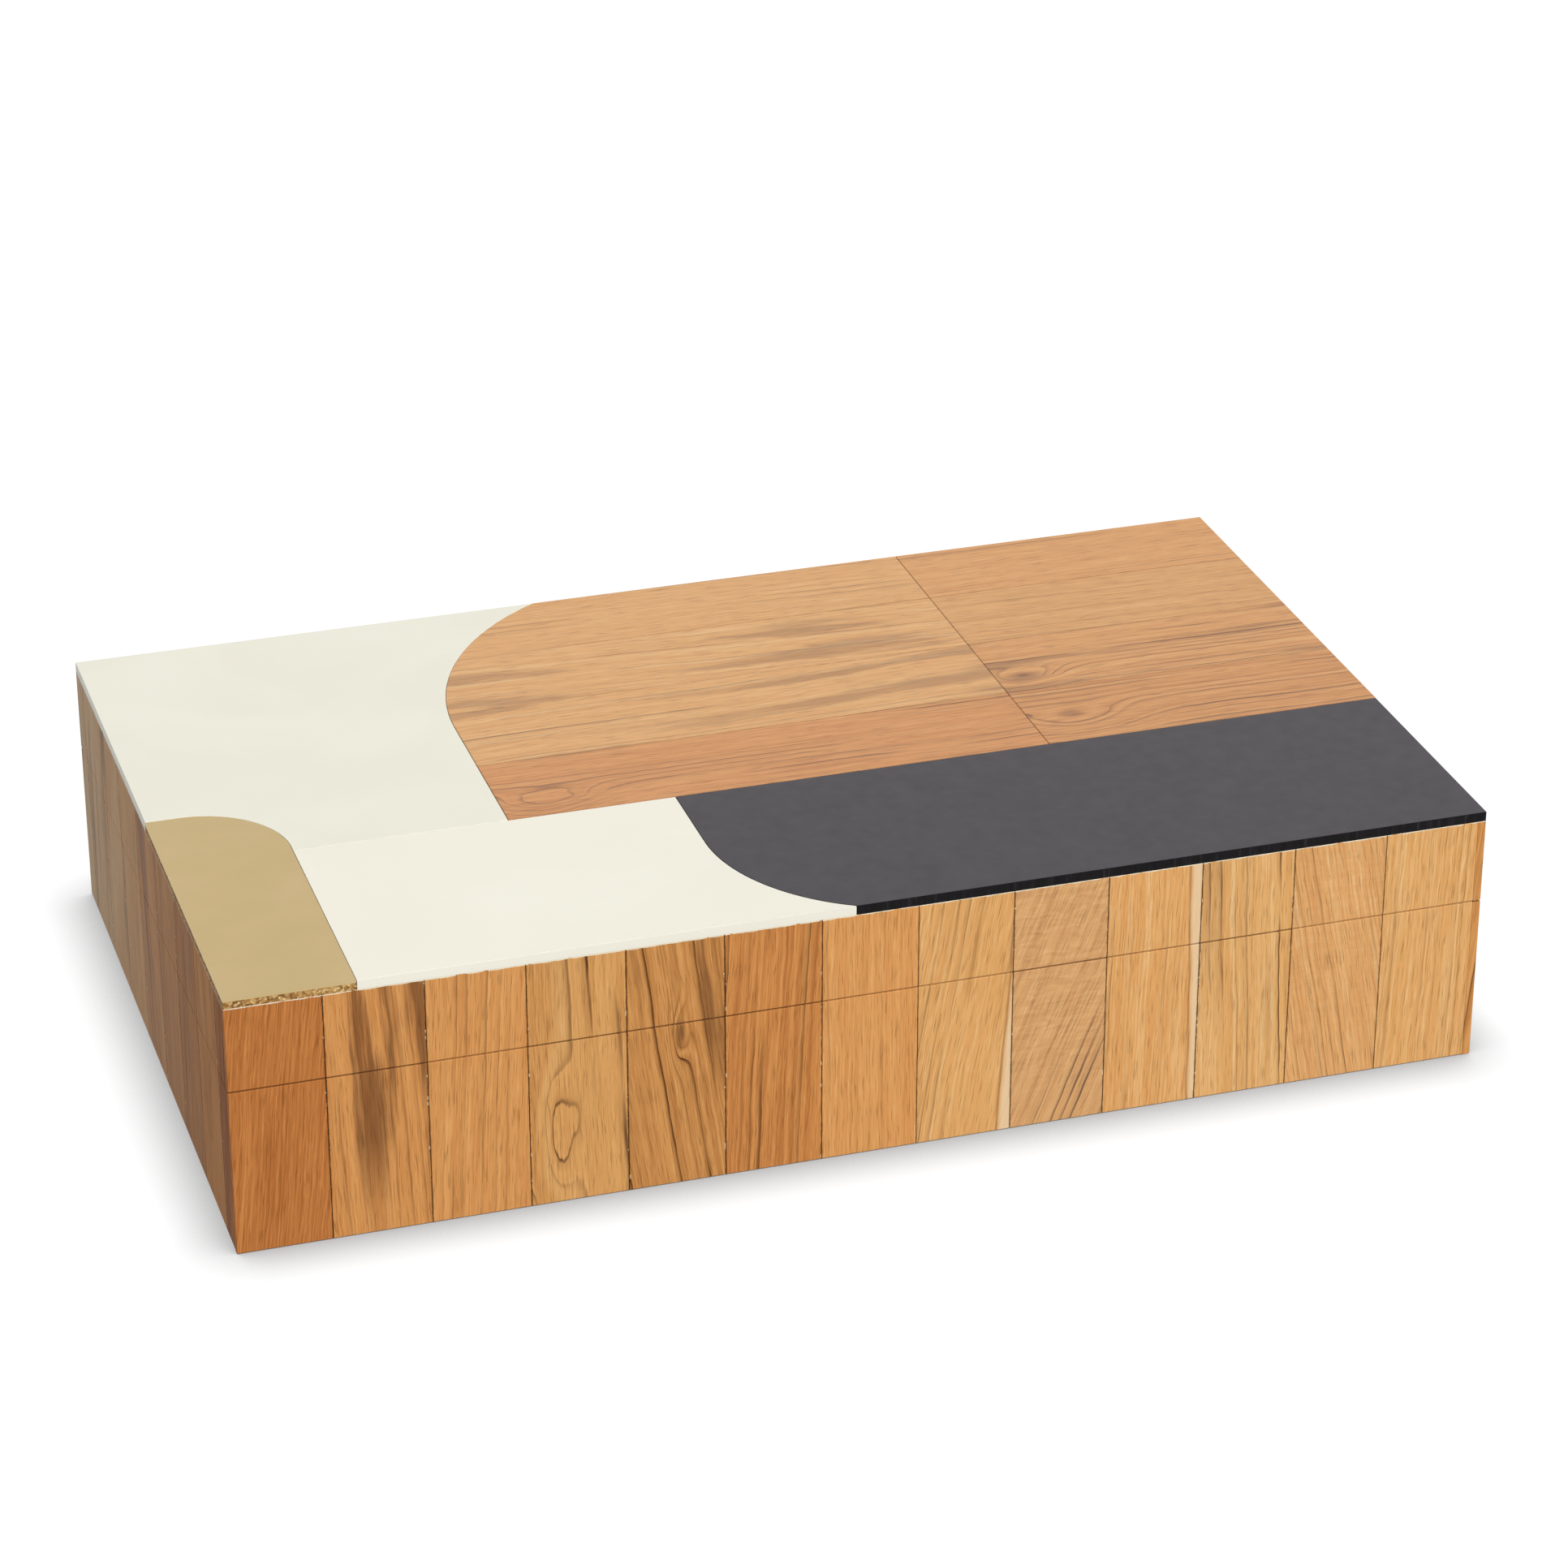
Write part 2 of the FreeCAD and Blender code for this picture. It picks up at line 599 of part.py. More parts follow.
def board_row(name, number, left, width):
    """The row that one board of a block takes up, with a glue line in front of the next board."""
    low = "(%s + %s + %d * Sizes.plank_width)" % (FRONT, JOINT, number)
    last = number == BOARDS - 1
    depth = "%s - %s" % (BACK, low) if last else "Sizes.plank_width - Sizes.glue_line"
    return block(name, (left, low, INLAY_UNDERSIDE), (width, depth, "Sizes.inlay_thickness"))


for number in range(BOARDS):
    row = board_row(
        "left_row_%d" % (number + 1), number,
        "%s + Sizes.teak_left" % LEFT, "Sizes.teak_split - Sizes.teak_left")
    board = doc.addObject("Part::Common", "left_board_%d" % (number + 1))
    board.Base = LEFT_FIELD
    board.Tool = row
    hand_in(board, "teak_left_board_%d" % (number + 1))
    board = board_row(
        "right_board_%d" % (number + 1), number,
        "%s + Sizes.teak_split" % LEFT, "Sizes.box_width - Sizes.teak_split")
    hand_in(board, "teak_right_board_%d" % (number + 1))

# Build, check and write every sub-part
doc.recompute()
for item in doc.Objects:
    failed = [state for state in item.State if state in ("Invalid", "Error")]
    if failed:
        raise RuntimeError("%s is %s" % (item.Label, failed))
for node in nodes:
    if node.Shape.isNull() or not node.Shape.isValid() or not node.Shape.Solids:
        raise RuntimeError("%s has no sound solid" % node.Label)

os.makedirs("parts", exist_ok=True)
for node in nodes:
    node.Shape.exportStep("parts/%s.step" % node.Label)
    print("%-28s %2d solids %10.1f mm3" % (node.Label, len(node.Shape.Solids), node.Shape.Volume))
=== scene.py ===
import math
import random
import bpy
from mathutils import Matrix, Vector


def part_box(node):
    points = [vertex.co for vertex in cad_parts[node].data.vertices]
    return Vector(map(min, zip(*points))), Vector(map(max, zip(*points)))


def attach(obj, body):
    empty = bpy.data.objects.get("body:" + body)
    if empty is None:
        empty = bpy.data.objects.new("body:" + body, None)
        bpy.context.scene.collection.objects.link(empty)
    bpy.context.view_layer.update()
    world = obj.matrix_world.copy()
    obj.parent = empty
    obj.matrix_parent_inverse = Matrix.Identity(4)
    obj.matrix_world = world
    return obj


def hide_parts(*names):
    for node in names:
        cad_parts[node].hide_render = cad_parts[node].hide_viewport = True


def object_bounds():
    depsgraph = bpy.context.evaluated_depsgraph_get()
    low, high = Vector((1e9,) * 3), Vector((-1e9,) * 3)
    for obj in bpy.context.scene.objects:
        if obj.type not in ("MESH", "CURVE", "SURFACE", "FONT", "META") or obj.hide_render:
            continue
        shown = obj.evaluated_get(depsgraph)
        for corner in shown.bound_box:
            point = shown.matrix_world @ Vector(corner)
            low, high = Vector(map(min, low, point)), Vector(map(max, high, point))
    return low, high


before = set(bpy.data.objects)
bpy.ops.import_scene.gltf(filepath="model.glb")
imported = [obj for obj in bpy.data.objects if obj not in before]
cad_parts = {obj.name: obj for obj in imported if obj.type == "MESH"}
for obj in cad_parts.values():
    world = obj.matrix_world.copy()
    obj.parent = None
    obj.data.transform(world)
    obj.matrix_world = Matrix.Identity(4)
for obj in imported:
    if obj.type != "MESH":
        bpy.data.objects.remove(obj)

from types import SimpleNamespace

import bmesh
import bpy
from mathutils import Vector

cad_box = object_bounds()

# Fibreboard core: the walls and panels that everything else is glued to, cut from fine board.
# The insides and the sawn rims are stained dark brown and sealed, so they show as an even satin brown.
MM = 0.001
CORE_NODES = ["bottom_panel", "lid_panel"]
CORE_NODES += ["%s_%s_wall" % (half, side) for half in ("base", "lid")
               for side in ("front", "back", "left", "right")]


def linear(hex_colour):
    """An sRGB hex value as linear red, green, blue and alpha."""
    parts = [int(hex_colour[i:i + 2], 16) / 255 for i in (1, 3, 5)]
    return [p / 12.92 if p <= 0.04045 else ((p + 0.055) / 1.055) ** 2.4 for p in parts] + [1.0]


def connect(tree, node, inputs):
    """Set a node's inputs: constants as they are, and sockets or the nodes that they belong to by a link."""
    for name, value in inputs.items():
        if isinstance(value, bpy.types.Node):
            value = next(socket for socket in value.outputs if socket.enabled)
        if isinstance(value, bpy.types.NodeSocket):
            tree.links.new(value, node.inputs[name])
        else:
            node.inputs[name].default_value = value


def add(tree, kind, inputs=None, stops=None, **settings):
    """Add a shader node with its settings, its inputs and, on a colour ramp, its stops."""
    made = tree.nodes.new("ShaderNode" + kind)
    for name, value in settings.items():
        setattr(made, name, value)
    connect(tree, made, inputs or {})
    if stops:
        elements = made.color_ramp.elements
        for _ in stops[2:]:
            elements.new(0.5)
        for element, (position, colour) in zip(elements, stops):
            element.position = position
            element.color = linear(colour)
    return made


def new_material(name):
    """A material with its shader, ready for the nodes that drive it."""
    material = bpy.data.materials.new(name)
    material.use_nodes = True
    return material, material.node_tree, material.node_tree.nodes["Principled BSDF"]


def stained_fibreboard():
    """Sealed fibreboard: fine felted fibres under a brown stain that took unevenly.

    The fibres are drawn coarser than they are, so that they show.
    """
    material, tree, shader = new_material("stained_fibreboard")
    place = add(tree, "TexCoord").outputs["Object"]
    fibre = add(tree, "TexNoise", {"Vector": place, "Scale": 1 / (0.9 * MM), "Detail": 4.0})
    cloud = add(tree, "TexNoise", {"Vector": place, "Scale": 1 / (35 * MM), "Detail": 3.0})
    both = add(tree, "Math", {0: fibre, 1: cloud}, operation="ADD")
    half = add(tree, "Math", {0: both, 1: 0.5}, operation="MULTIPLY")
    stain = add(tree, "ValToRGB", {"Fac": half}, [(0.35, "#312015"), (0.5, "#3D291B"), (0.65, "#4A3222")])
    bump = add(tree, "Bump", {"Height": fibre, "Strength": 0.25, "Distance": 0.1 * MM})
    connect(tree, shader, {"Base Color": stain, "Roughness": 0.55, "Normal": bump})
    return material


def dress(node_names, material):
    """Give CAD pieces whose shape is right their finished surface."""
    for name in node_names:
        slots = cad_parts[name].data.materials
        slots.clear()
        slots.append(material)


dress(CORE_NODES, stained_fibreboard())

# Hinges: two brass stop hinges let into the back rims, each of two leaves on a turned pin.
# Machined from bar, so the leaves carry fine cutter lines, and handling has dulled the brass a little.
LEAF_ARRIS = 0.12 * MM
ARRIS_STEPS = 2
WELD_DISTANCE = 0.001 * MM
FLAT_ANGLE = math.radians(0.5)
SHARP_ANGLE = math.radians(35)


def machined_brass(name, tarnished, plain, rubbed):
    """Brass off the cutter: fine lines along the piece, warm yellow with brown tarnish in patches.

    The lines are drawn coarser than a cutter leaves them, so that they show.
    """
    material, tree, shader = new_material(name)
    place = add(tree, "TexCoord").outputs["Object"]
    line_scale = (1 / (25 * MM), 1 / (0.4 * MM), 1 / (0.4 * MM))
    stretched = add(tree, "Mapping", {"Vector": place, "Scale": line_scale})
    lines = add(tree, "TexNoise", {"Vector": stretched, "Scale": 1.0, "Detail": 2.0})
    tarnish = add(tree, "TexNoise", {"Vector": place, "Scale": 1 / (4 * MM), "Detail": 6.0})
    colour = add(tree, "ValToRGB", {"Fac": tarnish}, [(0.35, tarnished), (0.55, plain), (0.75, rubbed)])
    rough = add(tree, "MapRange", {"Value": tarnish, "To Min": 0.42, "To Max": 0.24})
    bump = add(tree, "Bump", {"Height": lines, "Strength": 0.15, "Distance": 0.05 * MM})
    connect(tree, shader, {"Base Color": colour, "Metallic": 1.0, "Roughness": rough, "Normal": bump})
    return material


def select_only(piece):
    """Select one piece and nothing else."""
    bpy.ops.object.select_all(action="DESELECT")
    piece.select_set(True)
    bpy.context.view_layer.objects.active = piece


def worked_copy(node_name, piece_name, arris):
    """A copy of a CAD piece as clean flat faces, with its sharp arrises eased."""
    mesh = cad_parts[node_name].data.copy()
    piece = bpy.data.objects.new(piece_name, mesh)
    mesh.materials.clear()
    bpy.context.scene.collection.objects.link(piece)
    select_only(piece)
    bpy.ops.object.mode_set(mode="EDIT")
    bpy.ops.mesh.select_all(action="SELECT")
    bpy.ops.mesh.remove_doubles(threshold=WELD_DISTANCE)
    bpy.ops.mesh.dissolve_limited(angle_limit=FLAT_ANGLE)
    bpy.ops.mesh.select_all(action="DESELECT")
    bpy.ops.mesh.select_mode(type="EDGE")
    bpy.ops.mesh.edges_select_sharp(sharpness=SHARP_ANGLE)
    bpy.ops.mesh.bevel(offset=arris, segments=ARRIS_STEPS, clamp_overlap=True)
    bpy.ops.object.mode_set(mode="OBJECT")
    bpy.ops.object.shade_smooth_by_angle(angle=SHARP_ANGLE)
    flat = piece.modifiers.new("flat_faces", "WEIGHTED_NORMAL")
    flat.keep_sharp = True
    bpy.ops.object.modifier_apply(modifier=flat.name)
    return piece


leaf_brass = machined_brass("milled_brass", "#A8823F", "#C79F55", "#D6B46C")
for side in ("left", "right"):
    for part, body in (("base_leaf", "base"), ("lid_leaf", "lid"), ("pin", "base")):
        node_name = "%s_hinge_%s" % (side, part)
        metal = worked_copy(node_name, node_name + "_machined", LEAF_ARRIS)
        metal.data.materials.append(leaf_brass)
        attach(metal, body)
        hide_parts(node_name)

# Hinge screws: countersunk brass screws, two in each leaf, turned on a lathe and slotted with a saw.
# They were driven home by hand, so each slot stops at its own angle.
HEAD_ARRIS = 0.06 * MM
SAW_LENGTH = 6 * MM
SLOT_WIDTH = 0.6 * MM
SLOT_DEPTH = 0.5 * MM
TURN_SEED = 7
X, Y, Z = range(3)


def loose_pieces(mesh, axis):
    """The vertices of each separate piece of a mesh, in order along an axis."""
    shape = bmesh.new()
    shape.from_mesh(mesh)
    shape.verts.ensure_lookup_table()
    waiting = set(range(len(shape.verts)))
    pieces = []
    while waiting:
        piece = []
        found = [waiting.pop()]
        while found:
            vertex = shape.verts[found.pop()]
            piece.append(vertex.index)
            for edge in vertex.link_edges:
                other = edge.other_vert(vertex).index
                if other in waiting:
                    waiting.remove(other)
                    found.append(other)
        pieces.append(piece)
    shape.free()
    return sorted(pieces, key=lambda piece: min(mesh.vertices[i].co[axis] for i in piece))


def span(places, axis):
    """The lowest and the highest of some places along an axis."""
    return min(p[axis] for p in places), max(p[axis] for p in places)


screw_brass = machined_brass("turned_brass", "#C7A765", "#DCC07E", "#E8D39A")
turn = random.Random(TURN_SEED)
for body, pick_face in (("base", max), ("lid", min)):
    node_name = body + "_hinge_screws"
    screws = worked_copy(node_name, node_name + "_slotted", HEAD_ARRIS)
    heads = []
    for screw in loose_pieces(screws.data, X):
        places = [screws.data.vertices[i].co for i in screw]
        heads.append((sum(span(places, X)) / 2, sum(span(places, Y)) / 2, pick_face(span(places, Z))))
    for head in heads:
        bpy.ops.object.select_all(action="DESELECT")
        bpy.ops.mesh.primitive_cube_add(size=1, location=head, rotation=(0, 0, turn.uniform(0, math.pi)))
        saw = bpy.context.object
        saw.scale = (SAW_LENGTH, SLOT_WIDTH, 2 * SLOT_DEPTH)
        select_only(screws)
        slot = screws.modifiers.new("slot", "BOOLEAN")
        slot.object = saw
        bpy.ops.object.modifier_apply(modifier=slot.name)
        bpy.data.objects.remove(saw)
    screws.data.materials.clear()
    screws.data.materials.append(screw_brass)
    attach(screws, body)
    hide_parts(node_name)

# Felt: a dark sheet glued under the base so that it can't scratch a table, and a lining on the floor inside.
# Pressed wool, with a soft short nap that catches light at a slant and never lies quite flat.
FELT_NODES = ["floor_lining", "underside_felt"]
FELT_CUTS = 60
NAP_SIZE = 12 * MM
FELT_SMOOTH_ANGLE = math.radians(40)

# Shares of the felt's thickness: its pressed body, and how deep the nap sinks into that.
PRESSED_SHARE = 0.9
NAP_SHARE = 0.25


def wool_felt():
    """Pressed wool: tangled short fibres, brown with lighter hairs, no gloss and a faint sheen.

    The hairs are drawn coarser than wool, so that they show.
    """
    material, tree, shader = new_material("wool_felt")
    place = add(tree, "TexCoord").outputs["Object"]
    hair = add(tree, "TexNoise", {"Vector": place, "Scale": 1 / (0.7 * MM), "Detail": 5.0,
                                  "Distortion": 1.5})
    patch = add(tree, "TexNoise", {"Vector": place, "Scale": 1 / (14 * MM), "Detail": 3.0})
    both = add(tree, "Math", {0: hair, 1: patch}, operation="ADD")
    half = add(tree, "Math", {0: both, 1: 0.5}, operation="MULTIPLY")
    colour = add(tree, "ValToRGB", {"Fac": half}, [(0.35, "#1F1510"), (0.52, "#3A2920"), (0.7, "#5C463A")])
    bump = add(tree, "Bump", {"Height": hair, "Strength": 0.8, "Distance": 0.4 * MM})
    connect(tree, shader, {"Base Color": colour, "Roughness": 0.95, "Sheen Weight": 0.12, "Normal": bump})
    return material


felt_cloth = wool_felt()
for name in FELT_NODES:
    low, high = [Vector(corner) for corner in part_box(name)]
    thickness = high.z - low.z
    bpy.ops.object.select_all(action="DESELECT")
    bpy.ops.mesh.primitive_plane_add(size=1)
    sheet = bpy.context.object
    sheet.name = name + "_sheet"
    sheet.scale = (high.x - low.x, high.y - low.y, 1)
    sheet.location = ((low.x + high.x) / 2, (low.y + high.y) / 2, low.z)
    bpy.ops.object.transform_apply(location=True, rotation=True, scale=True)
    bpy.ops.object.mode_set(mode="EDIT")
    bpy.ops.mesh.select_all(action="SELECT")
    bpy.ops.mesh.subdivide(number_cuts=FELT_CUTS)
    bpy.ops.object.mode_set(mode="OBJECT")
    solid = sheet.modifiers.new("thickness", "SOLIDIFY")
    solid.thickness = thickness * PRESSED_SHARE
    solid.offset = 1.0
    bpy.ops.object.modifier_apply(modifier=solid.name)
    top = sheet.vertex_groups.new(name="top")
    top.add([v.index for v in sheet.data.vertices if v.co.z > low.z + thickness / 2], 1.0, "REPLACE")
    nap = bpy.data.textures.new(name + "_nap", "CLOUDS")
    nap.noise_scale = NAP_SIZE
    wave = sheet.modifiers.new("nap", "DISPLACE")
    wave.texture = nap
    wave.texture_coords = "GLOBAL"
    wave.direction = "Z"
    wave.mid_level = 1.0
    wave.strength = thickness * NAP_SHARE
    wave.vertex_group = top.name
    bpy.ops.object.modifier_apply(modifier=wave.name)
    sheet.data.materials.append(felt_cloth)
    bpy.ops.object.shade_smooth_by_angle(angle=FELT_SMOOTH_ANGLE)
    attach(sheet, "base")
    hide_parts(name)

# Teak cladding: solid strips glued side by side round the closed box, which was then sawn open at the seam.
# So the grain of each strip runs on from base to lid, and every strip has its own colour and figure.
# Pale filler was wiped into the joints, and it stays in the wider ones as flecks.
STRIP_ARRIS = 0.1 * MM
ACROSS_AXES = {"front": X, "back": X, "left": Y, "right": Y}
BOX_HEIGHT = cad_box[1][Z]
NO_JOINT = 1.0

# Each step of a board's seed moves its patterns on by this many metres, and its rings by this many years.
BOARD_SHIFT = 0.731
RING_SHIFT = 13.7

# How far the grain swings, and how far the edges of spots and sapwood wave.
BEND_REACH = 2.5 * MM
SPOT_WAVE = 7 * MM
SAP_WAVE = 3 * MM

# The rings: how wide their late wood is, when in the year it is darkest, and how uneven they are.
LATE_WOOD_WIDTH = 0.7 * MM
DARKEST_OF_YEAR = 0.93
SEASON_SWING = 1.3
RING_FRAY = 0.12

# How strongly fibres fray the stain, ripples hide the lines, pores darken the wood and flecks lighten it.
STAIN_FRAY = 0.3
RIPPLE_COVER = 2.4
PORE_STRENGTH = 0.34
FLECK_STRENGTH = 0.1

# What every point of a board stores: threes as vectors, and fours as colours, which hold nothing below zero.
BOARD_MARKS = {
    "grain": ("across", "along", "filler"),
    "joints": ("from_left", "from_right", "from_low", "from_high"),
    "look": ("tone", "red", "lines", "seed"),
    "rings": ("pith_across", "pith_depth", "tilt"),
    "slant": ("lean", "sap_low", "sap_high"),
    "figure": ("curl", "stain", "spacing"),
    "spot": ("spot_across", "spot_along", "knot"),
    "finish": ("gap", "bloom", "spot_width", "spot_length"),
}

# The inputs of a Mix node that lays one colour over another by an amount.
AMOUNT, UNDER, OVER = 0, 6, 7


def read_board(tree):
    """What a board's points store, with a socket for each value under its own name."""
    board = SimpleNamespace()
    for attribute, names in BOARD_MARKS.items():
        stored = add(tree, "Attribute", attribute_name=attribute)
        if len(names) == 3:
            sockets = add(tree, "SeparateXYZ", {0: stored.outputs["Vector"]}).outputs
        else:
            sockets = [*add(tree, "SeparateColor", {0: stored}).outputs, stored.outputs["Alpha"]]
        for name, socket in zip(names, sockets):
            setattr(board, name, socket)
    return board


def streaks(tree, place, width, length, **noise):
    """A cloudy pattern drawn out along the grain, in streaks of about one width and length."""
    drawn_out = add(tree, "Mapping", {"Vector": place, "Scale": (1 / width, 1 / length, 1.0)})
    return add(tree, "TexNoise", {"Vector": drawn_out, "Scale": 1.0, **noise}, noise_dimensions="2D")


def lay_grain(tree, board):
    """The run of the grain: it leans across the board and bends by a millimetre or so over about 60 mm."""
    board.leaning = add(tree, "Math", {0: board.along, 1: board.lean, 2: board.across},
                        operation="MULTIPLY_ADD")
    side = add(tree, "Math", {0: board.seed, 1: BOARD_SHIFT, 2: board.leaning}, operation="MULTIPLY_ADD")
    board.unbent = add(tree, "CombineXYZ", {0: side, 1: board.along})
    board.bend = streaks(tree, board.unbent, 33 * MM, 60 * MM, Detail=4.0, Roughness=0.62)
    swung = add(tree, "Math", {0: board.bend, 1: BEND_REACH, 2: side}, operation="MULTIPLY_ADD")
    board.place = add(tree, "CombineXYZ", {0: swung, 1: board.along})
    board.wander = streaks(tree, board.place, 11 * MM, 42 * MM, Detail=2.0)


def draw_fibres(tree, board):
    """Fibres 0.5 mm wide and 35 mm long, and open pores 0.3 mm wide and 7 mm long between pale flecks.

    The fibres are drawn as bundles, wider than single ones, so that they show.
    """
    board.fibre = streaks(tree, board.place, 0.5 * MM, 35 * MM, Detail=5.0, Roughness=0.6)
    cells = streaks(tree, board.place, 0.3 * MM, 7 * MM, Detail=1.0)
    board.pore = add(tree, "MapRange", {"Value": cells, "From Min": 0.62, "From Max": 0.72})
    board.fleck = add(tree, "MapRange", {"Value": cells, "From Min": 0.36, "From Max": 0.26})


def draw_figure(tree, board):
    """The board's one knot or island, its dark stain in streaks and its ripples about 1.3 mm apart.

    Stain and ripples grow weaker towards the low end of the board.
    """
    wavy = add(tree, "Math", {0: board.wander, 1: SPOT_WAVE, 2: board.across}, operation="MULTIPLY_ADD")
    spot_x = add(tree, "Math", {0: wavy, 1: board.spot_across}, operation="SUBTRACT")
    spot_x = add(tree, "Math", {0: spot_x, 1: board.spot_width}, operation="DIVIDE")
    spot_y = add(tree, "Math", {0: board.along, 1: board.spot_along}, operation="SUBTRACT")
    spot_y = add(tree, "Math", {0: spot_y, 1: board.spot_length}, operation="DIVIDE")
    off_spot = add(tree, "CombineXYZ", {0: spot_x, 1: spot_y})
    far = add(tree, "VectorMath", {0: off_spot, 1: off_spot}, operation="DOT_PRODUCT")
    near = add(tree, "Math", {0: far, 1: -1.0}, operation="MULTIPLY")
    board.island = add(tree, "Math", {0: near}, operation="EXPONENT")

    upper = add(tree, "MapRange", {"Value": board.along, "From Min": 5 * MM, "From Max": 25 * MM,
                                   "To Min": 0.2})
    smear = streaks(tree, board.place, 7 * MM, 80 * MM, Detail=3.0)
    frayed = add(tree, "Math", {0: board.fibre, 1: STAIN_FRAY, 2: smear}, operation="MULTIPLY_ADD")
    streak = add(tree, "MapRange", {"Value": frayed, "From Min": 0.7, "From Max": 0.82})
    core = add(tree, "MapRange", {"Value": board.island, "From Min": 0.55, "From Max": 0.95})
    streak = add(tree, "Math", {0: streak, 1: core}, operation="MAXIMUM")
    streak = add(tree, "Math", {0: streak, 1: board.stain}, operation="MULTIPLY")
    board.stained = add(tree, "Math", {0: streak, 1: upper}, operation="MULTIPLY")
    board.curled = add(tree, "Math", {0: upper, 1: board.curl}, operation="MULTIPLY")
    board.ripple = streaks(tree, board.unbent, 6 * MM, 1.3 * MM, Detail=2.0, Distortion=0.7)


def draw_rings(tree, board):
    """Growth rings round the pith at uneven spacing, swollen at the spot and frayed by the fibres."""
    bent = add(tree, "Math", {0: board.bend, 1: BEND_REACH, 2: board.leaning}, operation="MULTIPLY_ADD")
    ring_across = add(tree, "Math", {0: bent, 1: board.pith_across}, operation="SUBTRACT")
    ring_depth = add(tree, "Math", {0: board.along, 1: board.tilt, 2: board.pith_depth},
                     operation="MULTIPLY_ADD")
    from_pith = add(tree, "CombineXYZ", {0: ring_across, 1: ring_depth})
    radius = add(tree, "VectorMath", {0: from_pith}, operation="LENGTH")
    swollen = add(tree, "Math", {0: board.island, 1: board.knot, 2: radius}, operation="MULTIPLY_ADD")
    ring = add(tree, "Math", {0: swollen, 1: board.spacing}, operation="DIVIDE")
    ring = add(tree, "Math", {0: board.seed, 1: RING_SHIFT, 2: ring}, operation="MULTIPLY_ADD")
    ring = add(tree, "Math", {0: board.fibre, 1: RING_FRAY, 2: ring}, operation="MULTIPLY_ADD")
    board.growth = add(tree, "TexNoise", {"W": ring, "Scale": 1.0, "Detail": 3.0}, noise_dimensions="1D")
    season = add(tree, "TexNoise", {"W": ring, "Scale": 0.5, "Detail": 1.0}, noise_dimensions="1D")
    board.year = add(tree, "Math", {0: season, 1: SEASON_SWING, 2: ring}, operation="MULTIPLY_ADD")


def draw_late_wood(tree, board):
    """Late wood: each ring darkens towards its end and stops short, some years far darker than others.

    The lines come and go along the board, and where ripples lie they are hidden.
    """
    in_year = add(tree, "Math", {0: board.year}, operation="FRACT")
    share = add(tree, "Math", {0: LATE_WOOD_WIDTH, 1: board.spacing}, operation="DIVIDE")
    start = add(tree, "Math", {0: DARKEST_OF_YEAR, 1: share}, operation="SUBTRACT")
    line = add(tree, "MapRange", {"Value": in_year, "From Min": start, "From Max": DARKEST_OF_YEAR},
               interpolation_type="SMOOTHSTEP")
    shading = add(tree, "MapRange", {"Value": in_year, "From Min": 0.3, "From Max": DARKEST_OF_YEAR,
                                     "To Max": 0.28}, interpolation_type="SMOOTHSTEP")
    darkening = add(tree, "Math", {0: line, 1: shading}, operation="MAXIMUM")
    ending = add(tree, "MapRange", {"Value": in_year, "From Min": 0.94, "From Max": 1.0,
                                    "To Min": 1.0, "To Max": 0.0})
    line = add(tree, "Math", {0: darkening, 1: ending}, operation="MULTIPLY")
    whole_year = add(tree, "Math", {0: board.year}, operation="FLOOR")
    chance = add(tree, "TexWhiteNoise", {"W": whole_year}, noise_dimensions="1D")
    strength = add(tree, "MapRange", {"Value": chance, "From Min": 0.1, "From Max": 0.9})
    line = add(tree, "Math", {0: line, 1: strength}, operation="MULTIPLY")
    shown = add(tree, "MapRange", {"Value": board.wander, "From Min": 0.36, "From Max": 0.56})
    unhidden = add(tree, "Math", {0: board.curled, 1: -RIPPLE_COVER, 2: 1.0}, operation="MULTIPLY_ADD")
    shown = add(tree, "Math", {0: shown, 1: unhidden}, operation="MULTIPLY")
    shown = add(tree, "Math", {0: shown, 1: board.island}, operation="MAXIMUM")
    line = add(tree, "Math", {0: line, 1: shown}, operation="MULTIPLY")
    board.late_line = add(tree, "Math", {0: line, 1: board.lines}, operation="MULTIPLY")


